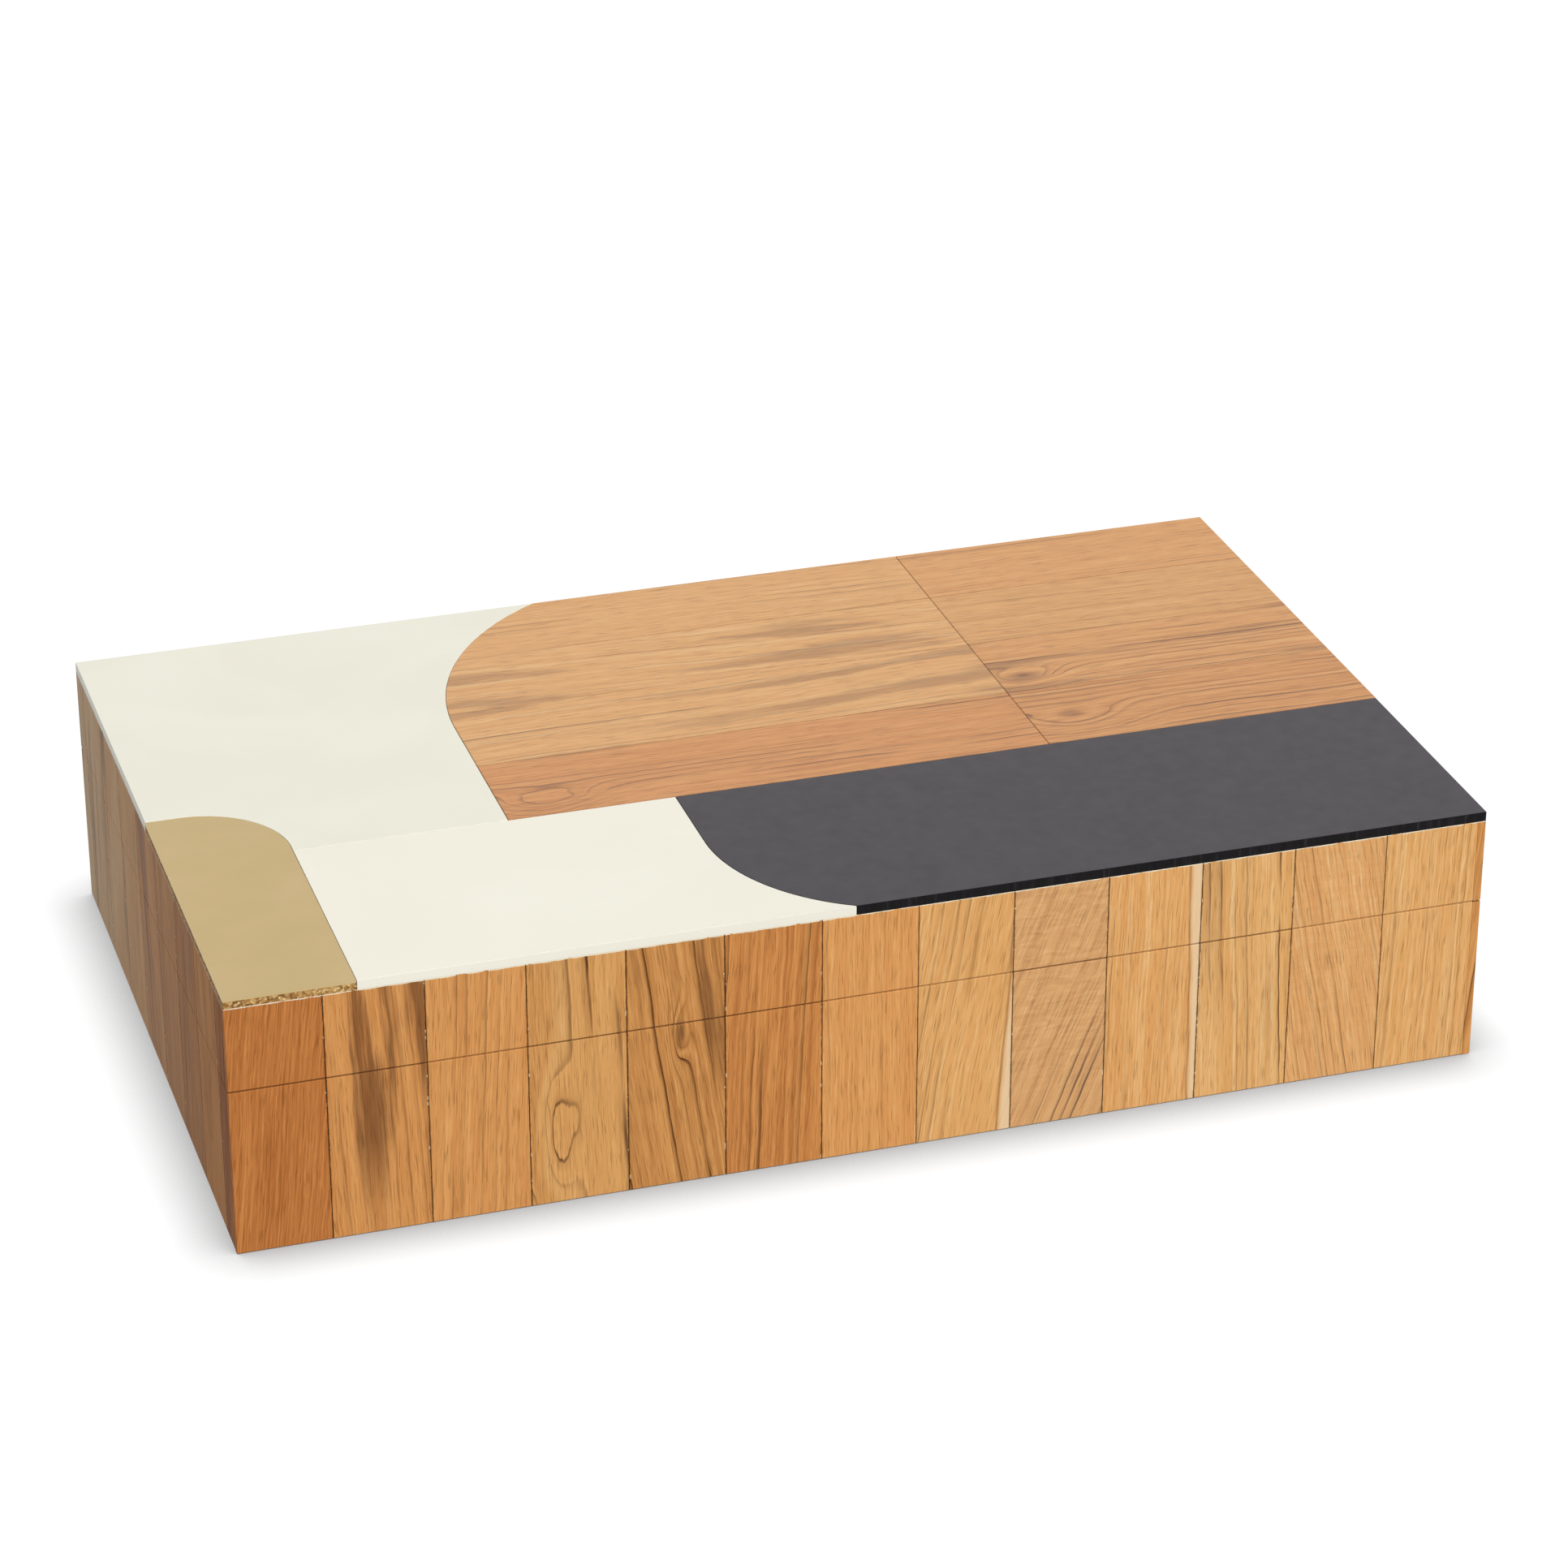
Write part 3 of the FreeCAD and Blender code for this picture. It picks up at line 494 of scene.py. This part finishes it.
def heartwood(tree, board):
    """The heartwood's colour: the board's tone moved by rings, fibres and ripples, under stain and lines."""
    growth_part = add(tree, "MapRange", {"Value": board.growth, "From Min": 0.25, "From Max": 0.75,
                                         "To Min": 1.0, "To Max": -1.0})
    growth_swing = add(tree, "Math", {0: board.lines, 1: 0.09, 2: 0.02}, operation="MULTIPLY_ADD")
    fibre_part = add(tree, "MapRange", {"Value": board.fibre, "From Min": 0.3, "From Max": 0.7,
                                        "To Min": -0.11, "To Max": 0.11})
    ripple_part = add(tree, "MapRange", {"Value": board.ripple, "From Min": 0.35, "From Max": 0.65,
                                         "To Min": -0.2, "To Max": 0.2})
    level = add(tree, "Math", {0: growth_part, 1: growth_swing, 2: board.tone}, operation="MULTIPLY_ADD")
    level = add(tree, "Math", {0: level, 1: fibre_part}, operation="ADD")
    level = add(tree, "Math", {0: ripple_part, 1: board.curled, 2: level}, operation="MULTIPLY_ADD")
    level = add(tree, "Math", {0: board.fleck, 1: FLECK_STRENGTH, 2: level}, operation="MULTIPLY_ADD")
    yellow = add(tree, "ValToRGB", {"Fac": level}, [
        (0.0, "#744A26"), (0.25, "#A8733D"), (0.5, "#CB9558"), (0.75, "#DDAB6D"), (1.0, "#EDCB94")])
    orange = add(tree, "ValToRGB", {"Fac": level}, [
        (0.0, "#6C3B1C"), (0.25, "#A86230"), (0.5, "#C98246"), (0.75, "#DC9D5D"), (1.0, "#EBC08E")])
    wood = add(tree, "Mix", {AMOUNT: board.red, UNDER: yellow, OVER: orange}, data_type="RGBA")
    pore_part = add(tree, "Math", {0: board.pore, 1: PORE_STRENGTH}, operation="MULTIPLY")
    for amount, colour in ((board.stained, "#5C3520"), (board.late_line, "#4E2C16"), (pore_part, "#5A3519")):
        wood = add(tree, "Mix", {AMOUNT: amount, UNDER: wood, OVER: linear(colour)}, data_type="RGBA")
    return wood


def sapwood_and_painted_sheen(tree, board, wood):
    """A pale stripe of sapwood along the right edge of some boards, and a painted sheen, a pale grey where
    light glances off the wood.

    A brown line lies where the heartwood starts.
    """
    width = add(tree, "MapRange", {"Value": board.along, "From Max": BOX_HEIGHT,
                                   "To Min": board.sap_low, "To Max": board.sap_high})
    past_sap = add(tree, "Math", {0: board.from_right, 1: width}, operation="SUBTRACT")
    past_sap = add(tree, "Math", {0: board.wander, 1: SAP_WAVE, 2: past_sap}, operation="MULTIPLY_ADD")
    sap = add(tree, "MapRange", {"Value": past_sap, "From Min": 1.0 * MM, "From Max": 1.9 * MM,
                                 "To Min": 0.85, "To Max": 0.0})
    from_line = add(tree, "Math", {0: past_sap, 1: 2.0 * MM}, operation="SUBTRACT")
    from_line = add(tree, "Math", {0: from_line}, operation="ABSOLUTE")
    line = add(tree, "MapRange", {"Value": from_line, "From Max": 0.5 * MM, "To Min": 0.55, "To Max": 0.0})
    # The pale grey laid over the wood last is painted sheen, a reflection of the bright surround painted
    # into the colour.
    for amount, colour in ((line, "#7A4A28"), (sap, "#E6C8A0"), (board.bloom, "#D9C3B6")):
        wood = add(tree, "Mix", {AMOUNT: amount, UNDER: wood, OVER: linear(colour)}, data_type="RGBA")
    return wood


def filled_joints(tree, board, wood):
    """A dark line of uneven width beside each neighbour, with flecks of filler, and a line of painted shade
    at the sawn seam between lid and base.

    The head of a lid strip shows a pale line of filler instead, where the strip meets the inlaid top.
    """
    rag = streaks(tree, board.unbent, 3 * MM, 3 * MM, Detail=3.0)
    joint_width = add(tree, "MapRange", {"Value": rag, "From Min": 0.35, "From Max": 0.65,
                                         "To Min": 0.1 * MM, "To Max": 0.4 * MM})
    nearest = add(tree, "Math", {0: board.from_left, 1: board.from_right}, operation="MINIMUM")
    joint = add(tree, "MapRange", {"Value": nearest, "From Min": 0.05 * MM, "From Max": joint_width,
                                   "To Min": board.gap, "To Max": 0.0})
    wide = add(tree, "MapRange", {"Value": board.gap, "From Min": 0.5, "From Max": 0.65})
    filled = add(tree, "MapRange", {"Value": rag, "From Min": 0.63, "From Max": 0.69, "To Max": wide})
    joint_colour = add(tree, "Mix", {AMOUNT: filled, UNDER: linear("#3F2413"), OVER: linear("#E6D3AE")},
                       data_type="RGBA")
    wood = add(tree, "Mix", {AMOUNT: joint, UNDER: wood, OVER: joint_colour}, data_type="RGBA")

    # At the sawn seam the dark line is painted shade, standing for the shadow in the gap between lid and
    # base.
    unfilled_high = add(tree, "Math", {0: board.filler, 1: board.from_high}, operation="ADD")
    end = add(tree, "Math", {0: board.from_low, 1: unfilled_high}, operation="MINIMUM")
    painted_seam_shade = add(tree, "MapRange", {"Value": end, "From Min": 0.08 * MM, "From Max": 0.26 * MM,
                                  "To Min": board.gap, "To Max": 0.0})
    head = add(tree, "MapRange", {"Value": board.from_high, "From Min": 0.1 * MM, "From Max": joint_width,
                                  "To Min": 0.9, "To Max": 0.0})
    head = add(tree, "Math", {0: head, 1: board.filler}, operation="MULTIPLY")
    for amount, colour in ((painted_seam_shade, "#452614"), (head, "#EADFC6")):
        wood = add(tree, "Mix", {AMOUNT: amount, UNDER: wood, OVER: linear(colour)}, data_type="RGBA")
    return wood


def oiled_teak():
    """Oiled teak, planed and sanded: growth rings cut by the face, fine fibres and short open pores.

    Each board carries its own place in the log, so its lines run straight, lean or arch as the rings do,
    with its own tone, redness, dark streaks, ripple, sapwood edge and at most one knot or island.
    """
    material, tree, shader = new_material("oiled_teak")
    board = read_board(tree)
    lay_grain(tree, board)
    draw_fibres(tree, board)
    draw_figure(tree, board)
    draw_rings(tree, board)
    draw_late_wood(tree, board)
    wood = heartwood(tree, board)
    wood = sapwood_and_painted_sheen(tree, board, wood)
    wood = filled_joints(tree, board, wood)
    rough = add(tree, "MapRange", {"Value": board.fibre, "From Min": 0.3, "From Max": 0.7,
                                   "To Min": 0.72, "To Max": 0.56})
    relief = add(tree, "Math", {0: board.pore, 1: -1.0, 2: board.fibre}, operation="MULTIPLY_ADD")
    bump = add(tree, "Bump", {"Height": relief, "Strength": 0.3, "Distance": 0.12 * MM})
    connect(tree, shader, {"Base Color": wood, "Roughness": rough, "Specular IOR Level": 0.06,
                           "Normal": bump})
    return material


def board_look(seed, tone, red, lines, lean=0.0, stain=0.0, pith=(-120, 30), tilt=0.05, curl=0.0,
               spacing=3.0, sap=(-9, -9), gap=0.7, bloom=0.0, knot=0.0, spot=(-99, 0), spread=(5, 18)):
    """How one board looks, in mm where it is a length.

    Tone runs from dark 0 to pale 1 and red from yellow 0 to orange 1. Lines, stain, curl, gap and painted
    sheen are strengths, the sheen a pale grey painted for light glancing off the wood. The pith lies across
    and below the face. The knot or island swells the rings at the spot, which lies across the board and
    along it from the box's foot or left end, and has its spread both ways.
    The sapwood has its width at the foot and at the head of the board.
    """
    return {
        "seed": seed, "tone": tone, "red": red, "lines": lines, "lean": lean, "tilt": tilt,
        "stain": stain, "curl": curl, "gap": gap, "bloom": bloom,
        "pith_across": pith[0] * MM, "pith_depth": pith[1] * MM, "spacing": spacing * MM,
        "sap_low": sap[0] * MM, "sap_high": sap[1] * MM,
        "knot": knot * MM, "spot_across": spot[0] * MM, "spot_along": spot[1] * MM,
        "spot_width": spread[0] * MM, "spot_length": spread[1] * MM,
    }


def mark_grain(piece, across_axis, along_axis, looks, free, filler=0.0):
    """Store on each board how it looks, where its points lie in the grain and how far off its joints are.

    The grain is measured along the board from the box's foot or left end, and across it round the edge.
    An edge that is named as free stands open at the outside of the box and has no joint.
    """
    mesh = piece.data
    depth_axis = X + Y + Z - across_axis - along_axis
    outer = max((v.co[depth_axis] for v in mesh.vertices), key=abs)
    start = cad_box[0][along_axis]
    for attribute, names in BOARD_MARKS.items():
        mesh.attributes.new(attribute, "FLOAT_VECTOR" if len(names) == 3 else "FLOAT_COLOR", "POINT")
    stores = {attribute: mesh.attributes[attribute].data for attribute in BOARD_MARKS}
    boards = loose_pieces(mesh, across_axis)
    for number, (board, look) in enumerate(zip(boards, looks)):
        places = [mesh.vertices[i].co for i in board]
        left, right = span(places, across_axis)
        low, high = span(places, along_axis)
        open_left = NO_JOINT if "left" in free and number == 0 else 0.0
        open_right = NO_JOINT if "right" in free and number == len(boards) - 1 else 0.0
        open_low = NO_JOINT if "low" in free else 0.0
        open_high = NO_JOINT if "high" in free else 0.0
        marks = {**look, "filler": filler}
        for index, place in zip(board, places):
            across, along = place[across_axis], place[along_axis]
            marks["across"] = across - left + abs(place[depth_axis] - outer)
            marks["along"] = along - start
            marks["from_left"] = across - left + open_left
            marks["from_right"] = right - across + open_right
            marks["from_low"] = along - low + open_low
            marks["from_high"] = high - along + open_high
            for attribute, names in BOARD_MARKS.items():
                kind = "vector" if len(names) == 3 else "color"
                setattr(stores[attribute][index], kind, [marks[name] for name in names])


# The front strips from left to right, as they show: plain amber, streaked, honey, straw and so on.
FRONT_LOOKS = [
    board_look(1, 0.34, 0.85, 0.25, -0.10),
    board_look(2, 0.54, 0.60, 0.45, 0.04, stain=0.7),
    board_look(3, 0.60, 0.65, 0.50, -0.06, gap=0.5),
    board_look(4, 0.58, 0.20, 1.00, 0.02, pith=(-30, 60), tilt=0.03, spacing=4.0,
               knot=7, spot=(9, 18), spread=(5, 16)),
    board_look(5, 0.43, 0.30, 1.00, 0.12, stain=0.6, pith=(-80, 30), spacing=2.2,
               knot=5, spot=(16, 39), spread=(2.0, 7)),
    board_look(6, 0.45, 0.70, 1.00, -0.06, spacing=2.2),
    board_look(7, 0.66, 0.75, 0.40, 0.0, gap=0.5),
    board_look(8, 0.72, 0.35, 0.45, -0.16, sap=(2.4, -1.0), gap=0.4),
    # Boards 9 and 12 get a faint painted sheen, a pale grey over the wood.
    board_look(9.4, 0.58, 0.10, 1.00, -0.40, curl=0.4, spacing=2.2, bloom=0.1,
               spot=(22, 8), spread=(10, 20)),
    board_look(10, 0.75, 0.55, 0.40, -0.03, sap=(0.8, 2.2), gap=0.5),
    board_look(11, 0.75, 0.25, 1.00, 0.02, stain=0.15, pith=(-50, 30), spacing=2.8,
               knot=4, spot=(1.5, 38), spread=(1.8, 6)),
    board_look(12, 0.72, 0.50, 0.55, 0.18, gap=0.4, curl=0.12, spacing=2.2, bloom=0.04),
    board_look(13, 0.75, 0.40, 0.40, -0.04, gap=0.4),
]


def any_looks(count, first_seed, first, last, vary=0.16, stain=0.1, spacing=3.0):
    """Looks drawn by chance for a side that is seen less or not at all.

    Tone, redness and painted sheen pass from those of the first board to those of the last.
    """
    draw = random.Random(first_seed)
    looks = []
    for i in range(count):
        tone, red, bloom = [a + (b - a) * i / (count - 1) for a, b in zip(first, last)]
        looks.append(board_look(
            first_seed + i, tone + draw.uniform(-vary, vary), red + draw.uniform(-0.2, 0.2),
            lines=draw.uniform(0.5, 1.0), lean=draw.uniform(-0.12, 0.12), stain=draw.uniform(0.0, 2 * stain),
            pith=(draw.uniform(-140, 40), draw.uniform(20, 50)), tilt=draw.uniform(-0.2, 0.2),
            spacing=spacing, bloom=bloom))
    return looks


SIDE_LOOKS = {
    "front": FRONT_LOOKS,
    "back": any_looks(13, 40, (0.58, 0.4, 0.0), (0.62, 0.5, 0.0)),
    # The left strips are painted darker at the front as painted shade, and paler and greyer towards the back
    # as painted reflection of the bright surround.
    "left": any_looks(9, 60, (0.25, 0.6, 0.0), (1.2, 0.3, 0.4), vary=0.22, stain=0.4, spacing=7.0),
    "right": any_looks(9, 80, (0.6, 0.5, 0.0), (0.55, 0.4, 0.0)),
}
teak = oiled_teak()
for half, open_end, filler in (("base", "low", 0.0), ("lid", None, 1.0)):
    for side, across_axis in ACROSS_AXES.items():
        node_name = "%s_%s_strips" % (half, side)
        strips = worked_copy(node_name, "%s_%s_cladding" % (half, side), STRIP_ARRIS)
        mark_grain(strips, across_axis, Z, SIDE_LOOKS[side], ("left", "right", open_end), filler)
        strips.data.materials.append(teak)
        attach(strips, half)
        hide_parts(node_name)

# Teak boards of the lid top: two blocks of four boards with the grain along the box, planed flush.
# Straw-coloured with soft brown streaks and a knot at the end of some, the front left board redder.
BOARD_ARRIS = 0.05 * MM
# The top boards have fainter joints, and a painted sheen lays a pale grey over them for light glancing off
# the wood.
TOP_FAINT_JOINTS_AND_SHEEN = {"gap": 0.26, "bloom": 0.17}
TOP_LOOKS = {
    "left": [
        board_look(101, 0.55, 0.80, 0.90, spacing=2.6, knot=10, spot=(8, 92), spread=(8, 14), **TOP_FAINT_JOINTS_AND_SHEEN),
        board_look(102, 0.72, 0.35, 0.80, -0.03, stain=0.4, **TOP_FAINT_JOINTS_AND_SHEEN),
        board_look(103, 0.73, 0.35, 0.70, 0.05, stain=0.4, **TOP_FAINT_JOINTS_AND_SHEEN),
        board_look(104, 0.72, 0.40, 0.45, 0.01, **TOP_FAINT_JOINTS_AND_SHEEN),
    ],
    "right": [
        board_look(111, 0.53, 0.60, 0.80, spacing=2.2, knot=9, spot=(12, 226), spread=(9, 16), **TOP_FAINT_JOINTS_AND_SHEEN),
        board_look(112, 0.61, 0.55, 0.90, stain=0.5, spacing=2.2,
                   knot=9, spot=(11, 222), spread=(5, 10), **TOP_FAINT_JOINTS_AND_SHEEN),
        board_look(113, 0.61, 0.25, 0.35, 0.03, **TOP_FAINT_JOINTS_AND_SHEEN),
        board_look(114, 0.64, 0.60, 0.40, -0.03, **TOP_FAINT_JOINTS_AND_SHEEN),
    ],
}
for block, looks in TOP_LOOKS.items():
    for number, look in enumerate(looks, start=1):
        node_name = "teak_%s_board_%d" % (block, number)
        board = worked_copy(node_name, "teak_top_%s_%d" % (block, number), BOARD_ARRIS)
        free = ["high"] if block == "right" else []
        free += ["right"] if number == len(looks) else []
        mark_grain(board, Y, X, [look], free)
        board.data.materials.append(teak)
        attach(board, "lid")
        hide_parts(node_name)

# Cream and black slabs: cast resin cut to curved outlines, set flush in the top and polished together.
# The cream is faintly clouded, and the black carries a grey bloom of fine polishing haze.
SLAB_ARRIS = 0.15 * MM

# Faces that look up by more than this are polished, and the rest of the black slab stays as it was sawn,
# painted darker as shade.
FACES_UP = 0.5


def cream_resin(name, darker, paler):
    """Polished cast resin: ivory with faint clouds, a soft gloss and hairline polishing marks."""
    material, tree, shader = new_material(name)
    place = add(tree, "TexCoord").outputs["Object"]
    cloud = add(tree, "TexNoise", {"Vector": place, "Scale": 1 / (40 * MM), "Detail": 5.0,
                                   "Distortion": 0.6})
    colour = add(tree, "ValToRGB", {"Fac": cloud}, [(0.35, darker), (0.65, paler)])
    haze = add(tree, "TexNoise", {"Vector": place, "Scale": 1 / (3 * MM), "Detail": 6.0})
    rough = add(tree, "MapRange", {"Value": haze, "To Min": 0.36, "To Max": 0.46})
    bump = add(tree, "Bump", {"Height": haze, "Strength": 0.04, "Distance": 0.05 * MM})
    connect(tree, shader, {"Base Color": colour, "Roughness": rough, "Normal": bump})
    return material


def black_resin():
    """Polished black resin: near black in itself, greyed by fine haze that scatters the sky."""
    material, tree, shader = new_material("black_resin")
    place = add(tree, "TexCoord").outputs["Object"]
    cloud = add(tree, "TexNoise", {"Vector": place, "Scale": 1 / (9 * MM), "Detail": 8.0, "Roughness": 0.75})
    colour = add(tree, "ValToRGB", {"Fac": cloud}, [(0.3, "#1F191F"), (0.5, "#241E25"), (0.7, "#2A242B")])
    haze = add(tree, "TexNoise", {"Vector": place, "Scale": 1 / (4 * MM), "Detail": 6.0})
    rough = add(tree, "MapRange", {"Value": haze, "To Min": 0.32, "To Max": 0.5})
    bump = add(tree, "Bump", {"Height": haze, "Strength": 0.06, "Distance": 0.05 * MM})
    connect(tree, shader, {"Base Color": colour, "Roughness": rough, "Normal": bump})
    return material


def shaded_sawn_black_resin():
    """The slab's edge as the saw left it: a deeper black than the top as painted shade, rougher than the
    face, with fine upright scratches.

    The scratches are drawn coarser than they are, so that they show.
    """
    material, tree, shader = new_material("shaded_sawn_black_resin")
    place = add(tree, "TexCoord").outputs["Object"]
    scratch_scale = (1 / (0.8 * MM), 1 / (0.8 * MM), 1 / (7 * MM))
    upright = add(tree, "Mapping", {"Vector": place, "Scale": scratch_scale})
    scratch = add(tree, "TexNoise", {"Vector": upright, "Scale": 1.0, "Detail": 3.0})
    colour = add(tree, "ValToRGB", {"Fac": scratch},
                 [(0.35, "#0B0A0B"), (0.6, "#131113"), (0.75, "#2A282A")])
    bump = add(tree, "Bump", {"Height": scratch, "Strength": 0.2, "Distance": 0.05 * MM})
    connect(tree, shader, {"Base Color": colour, "Roughness": 0.6, "Specular IOR Level": 0.12,
                           "Normal": bump})
    return material


SLABS = {
    "cream_rear_inlay": ([cream_resin("cream_resin_rear", "#E3E0D0", "#E6E4D4")], "cream_resin"),
    "cream_front_inlay": ([cream_resin("cream_resin_front", "#E9E5D6", "#ECE9DA")], "cream_resin"),
    "black_inlay": ([black_resin(), shaded_sawn_black_resin()], "black_resin"),
}
for node_name, (finishes, slot) in SLABS.items():
    slab = worked_copy(node_name, node_name + "_slab", SLAB_ARRIS)
    for finish in finishes:
        slab.data.materials.append(finish)
    for face in slab.data.polygons:
        face.material_index = 0 if face.normal.z > FACES_UP else len(finishes) - 1
    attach(slab, "lid")
    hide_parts(node_name)

# Brass plate: thin sheet glued on a chipboard packer that brings it level with the slabs.
# The sheet has dulled to a pale olive gold, and the packer's grains show at the edge of the lid.
PLATE_ARRIS = 0.1 * MM


def raw_chipboard():
    """Chipboard edge: pressed grains about 0.6 mm across, brown to pale, rough."""
    material, tree, shader = new_material("raw_chipboard")
    place = add(tree, "TexCoord").outputs["Object"]
    grains = add(tree, "TexVoronoi", {"Vector": place, "Scale": 1 / (0.6 * MM)})
    shade = add(tree, "SeparateColor", {0: grains.outputs["Color"]})
    colour = add(tree, "ValToRGB", {"Fac": shade},
                 [(0.0, "#73502C"), (0.35, "#A07641"), (0.75, "#BE955A"), (1.0, "#D8BC88")])
    bump = add(tree, "Bump", {"Height": grains, "Strength": 0.6, "Distance": 0.2 * MM})
    connect(tree, shader, {"Base Color": colour, "Roughness": 0.85, "Normal": bump})
    return material


def dulled_sheet_brass():
    """Rolled brass left to dull: pale gold with an even grey-olive bloom and faint rolling lines.

    The lines are drawn coarser than rolling leaves them, so that they show.
    """
    material, tree, shader = new_material("dulled_sheet_brass")
    place = add(tree, "TexCoord").outputs["Object"]
    line_scale = (1 / (0.7 * MM), 1 / (33 * MM), 1 / (0.7 * MM))
    stretched = add(tree, "Mapping", {"Vector": place, "Scale": line_scale})
    lines = add(tree, "TexNoise", {"Vector": stretched, "Scale": 1.0, "Detail": 3.0})
    bloom = add(tree, "TexNoise", {"Vector": place, "Scale": 1 / (12 * MM), "Detail": 6.0})
    colour = add(tree, "ValToRGB", {"Fac": bloom}, [(0.3, "#C6AE7C"), (0.5, "#C9B180"), (0.7, "#CDB586")])
    rough = add(tree, "MapRange", {"Value": bloom, "To Min": 0.4, "To Max": 0.55})
    bump = add(tree, "Bump", {"Height": lines, "Strength": 0.08, "Distance": 0.05 * MM})
    connect(tree, shader, {"Base Color": colour, "Metallic": 0.85, "Roughness": rough, "Normal": bump})
    return material


PLATES = {
    "brass_packer": (raw_chipboard(), "chipboard"),
    "brass_inlay": (dulled_sheet_brass(), "brass_sheet"),
}
for node_name, (finish, slot) in PLATES.items():
    plate = worked_copy(node_name, node_name + "_plate", PLATE_ARRIS)
    plate.data.materials.append(finish)
    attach(plate, "lid")
    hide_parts(node_name)

# Stage: a plain white table that keeps the shadow, with a painted contact shadow round the box, soft studio
# light and the camera.
# The table fades into a white surround, which gloss and metal see too.
TABLE_SIZE = 8.0
# How far the painted contact shadow reaches from the box, and how many rays it samples.
PAINTED_SHADOW_REACH = 15 * MM
PAINTED_SHADOW_SAMPLES = 6
SURROUND_LIGHT = 0.33
WHITE = linear("#FFFFFF")
MIRRORED_RAYS = ("Is Glossy Ray", "Is Transmission Ray")

# The table glows nearly white over a dark paint that takes the shadow, and lights the box as a mid grey.
TABLE_GLOW = 0.97
TABLE_SEEN = linear("#3C3C3C")
TABLE_BOUNCE = linear("#757575")

bpy.ops.object.select_all(action="DESELECT")
bpy.ops.mesh.primitive_plane_add(size=TABLE_SIZE)
table = bpy.context.object
table.name = "table"
white_table, tree, shader = new_material("white_table")
path = add(tree, "LightPath")
seen = path.outputs["Is Camera Ray"]
paint = add(tree, "Mix", {AMOUNT: seen, UNDER: TABLE_BOUNCE, OVER: TABLE_SEEN}, data_type="RGBA")
# Close to the box the glow dims by ambient occlusion: a painted contact shadow, the same on every side
# whatever the lamps do.
painted_contact_shadow = add(tree, "AmbientOcclusion", {"Distance": PAINTED_SHADOW_REACH}, samples=PAINTED_SHADOW_SAMPLES)
bright = add(tree, "Math", {0: seen, 1: painted_contact_shadow.outputs["AO"]}, operation="MULTIPLY")
for ray in MIRRORED_RAYS:
    bright = add(tree, "Math", {0: bright, 1: path.outputs[ray]}, operation="MAXIMUM")
glow = add(tree, "Math", {0: bright, 1: TABLE_GLOW}, operation="MULTIPLY")
connect(tree, shader, {"Base Color": paint, "Roughness": 0.9, "Emission Color": WHITE,
                       "Emission Strength": glow})
table.data.materials.append(white_table)

world = bpy.data.worlds.new("white_surround")
bpy.context.scene.world = world
world.use_nodes = True
tree = world.node_tree
path = add(tree, "LightPath")
seen = path.outputs["Is Camera Ray"]
for ray in MIRRORED_RAYS:
    seen = add(tree, "Math", {0: seen, 1: path.outputs[ray]}, operation="MAXIMUM")
level = add(tree, "MapRange", {"Value": seen, "To Min": SURROUND_LIGHT, "To Max": 1.0})
connect(tree, tree.nodes["Background"], {"Color": WHITE, "Strength": level})

LAMPS = {
    "key": {"place": Vector((0.55, -1.44, 0.86)), "spread": math.radians(32), "power": 2.9},
    "rear_fill": {"place": Vector((-0.3, 1.2, 1.1)), "spread": math.radians(60), "power": 1.2},
}
for name, lamp in LAMPS.items():
    sun = bpy.data.lights.new(name, "SUN")
    sun.angle = lamp["spread"]
    sun.energy = lamp["power"]
    holder = bpy.data.objects.new(name, sun)
    holder.location = lamp["place"]
    holder.rotation_euler = (-lamp["place"]).to_track_quat("-Z", "Y").to_euler()
    holder.visible_glossy = False
    bpy.context.scene.collection.objects.link(holder)

CAMERA_PLACE = Vector((-0.3133, -1.0150, 0.5866))
CAMERA_AIM = Vector((0.01863, 0.03935, 0.0300))
CAMERA_LENS = 112.74
SENSOR_WIDTH = 36.0
lens = bpy.data.cameras.new("camera")
lens.lens = CAMERA_LENS
lens.sensor_width = SENSOR_WIDTH
camera = bpy.data.objects.new("camera", lens)
camera.location = CAMERA_PLACE
camera.rotation_euler = (CAMERA_AIM - CAMERA_PLACE).to_track_quat("-Z", "Y").to_euler()
bpy.context.scene.collection.objects.link(camera)
bpy.context.scene.camera = camera
bpy.context.scene.view_settings.view_transform = "Standard"
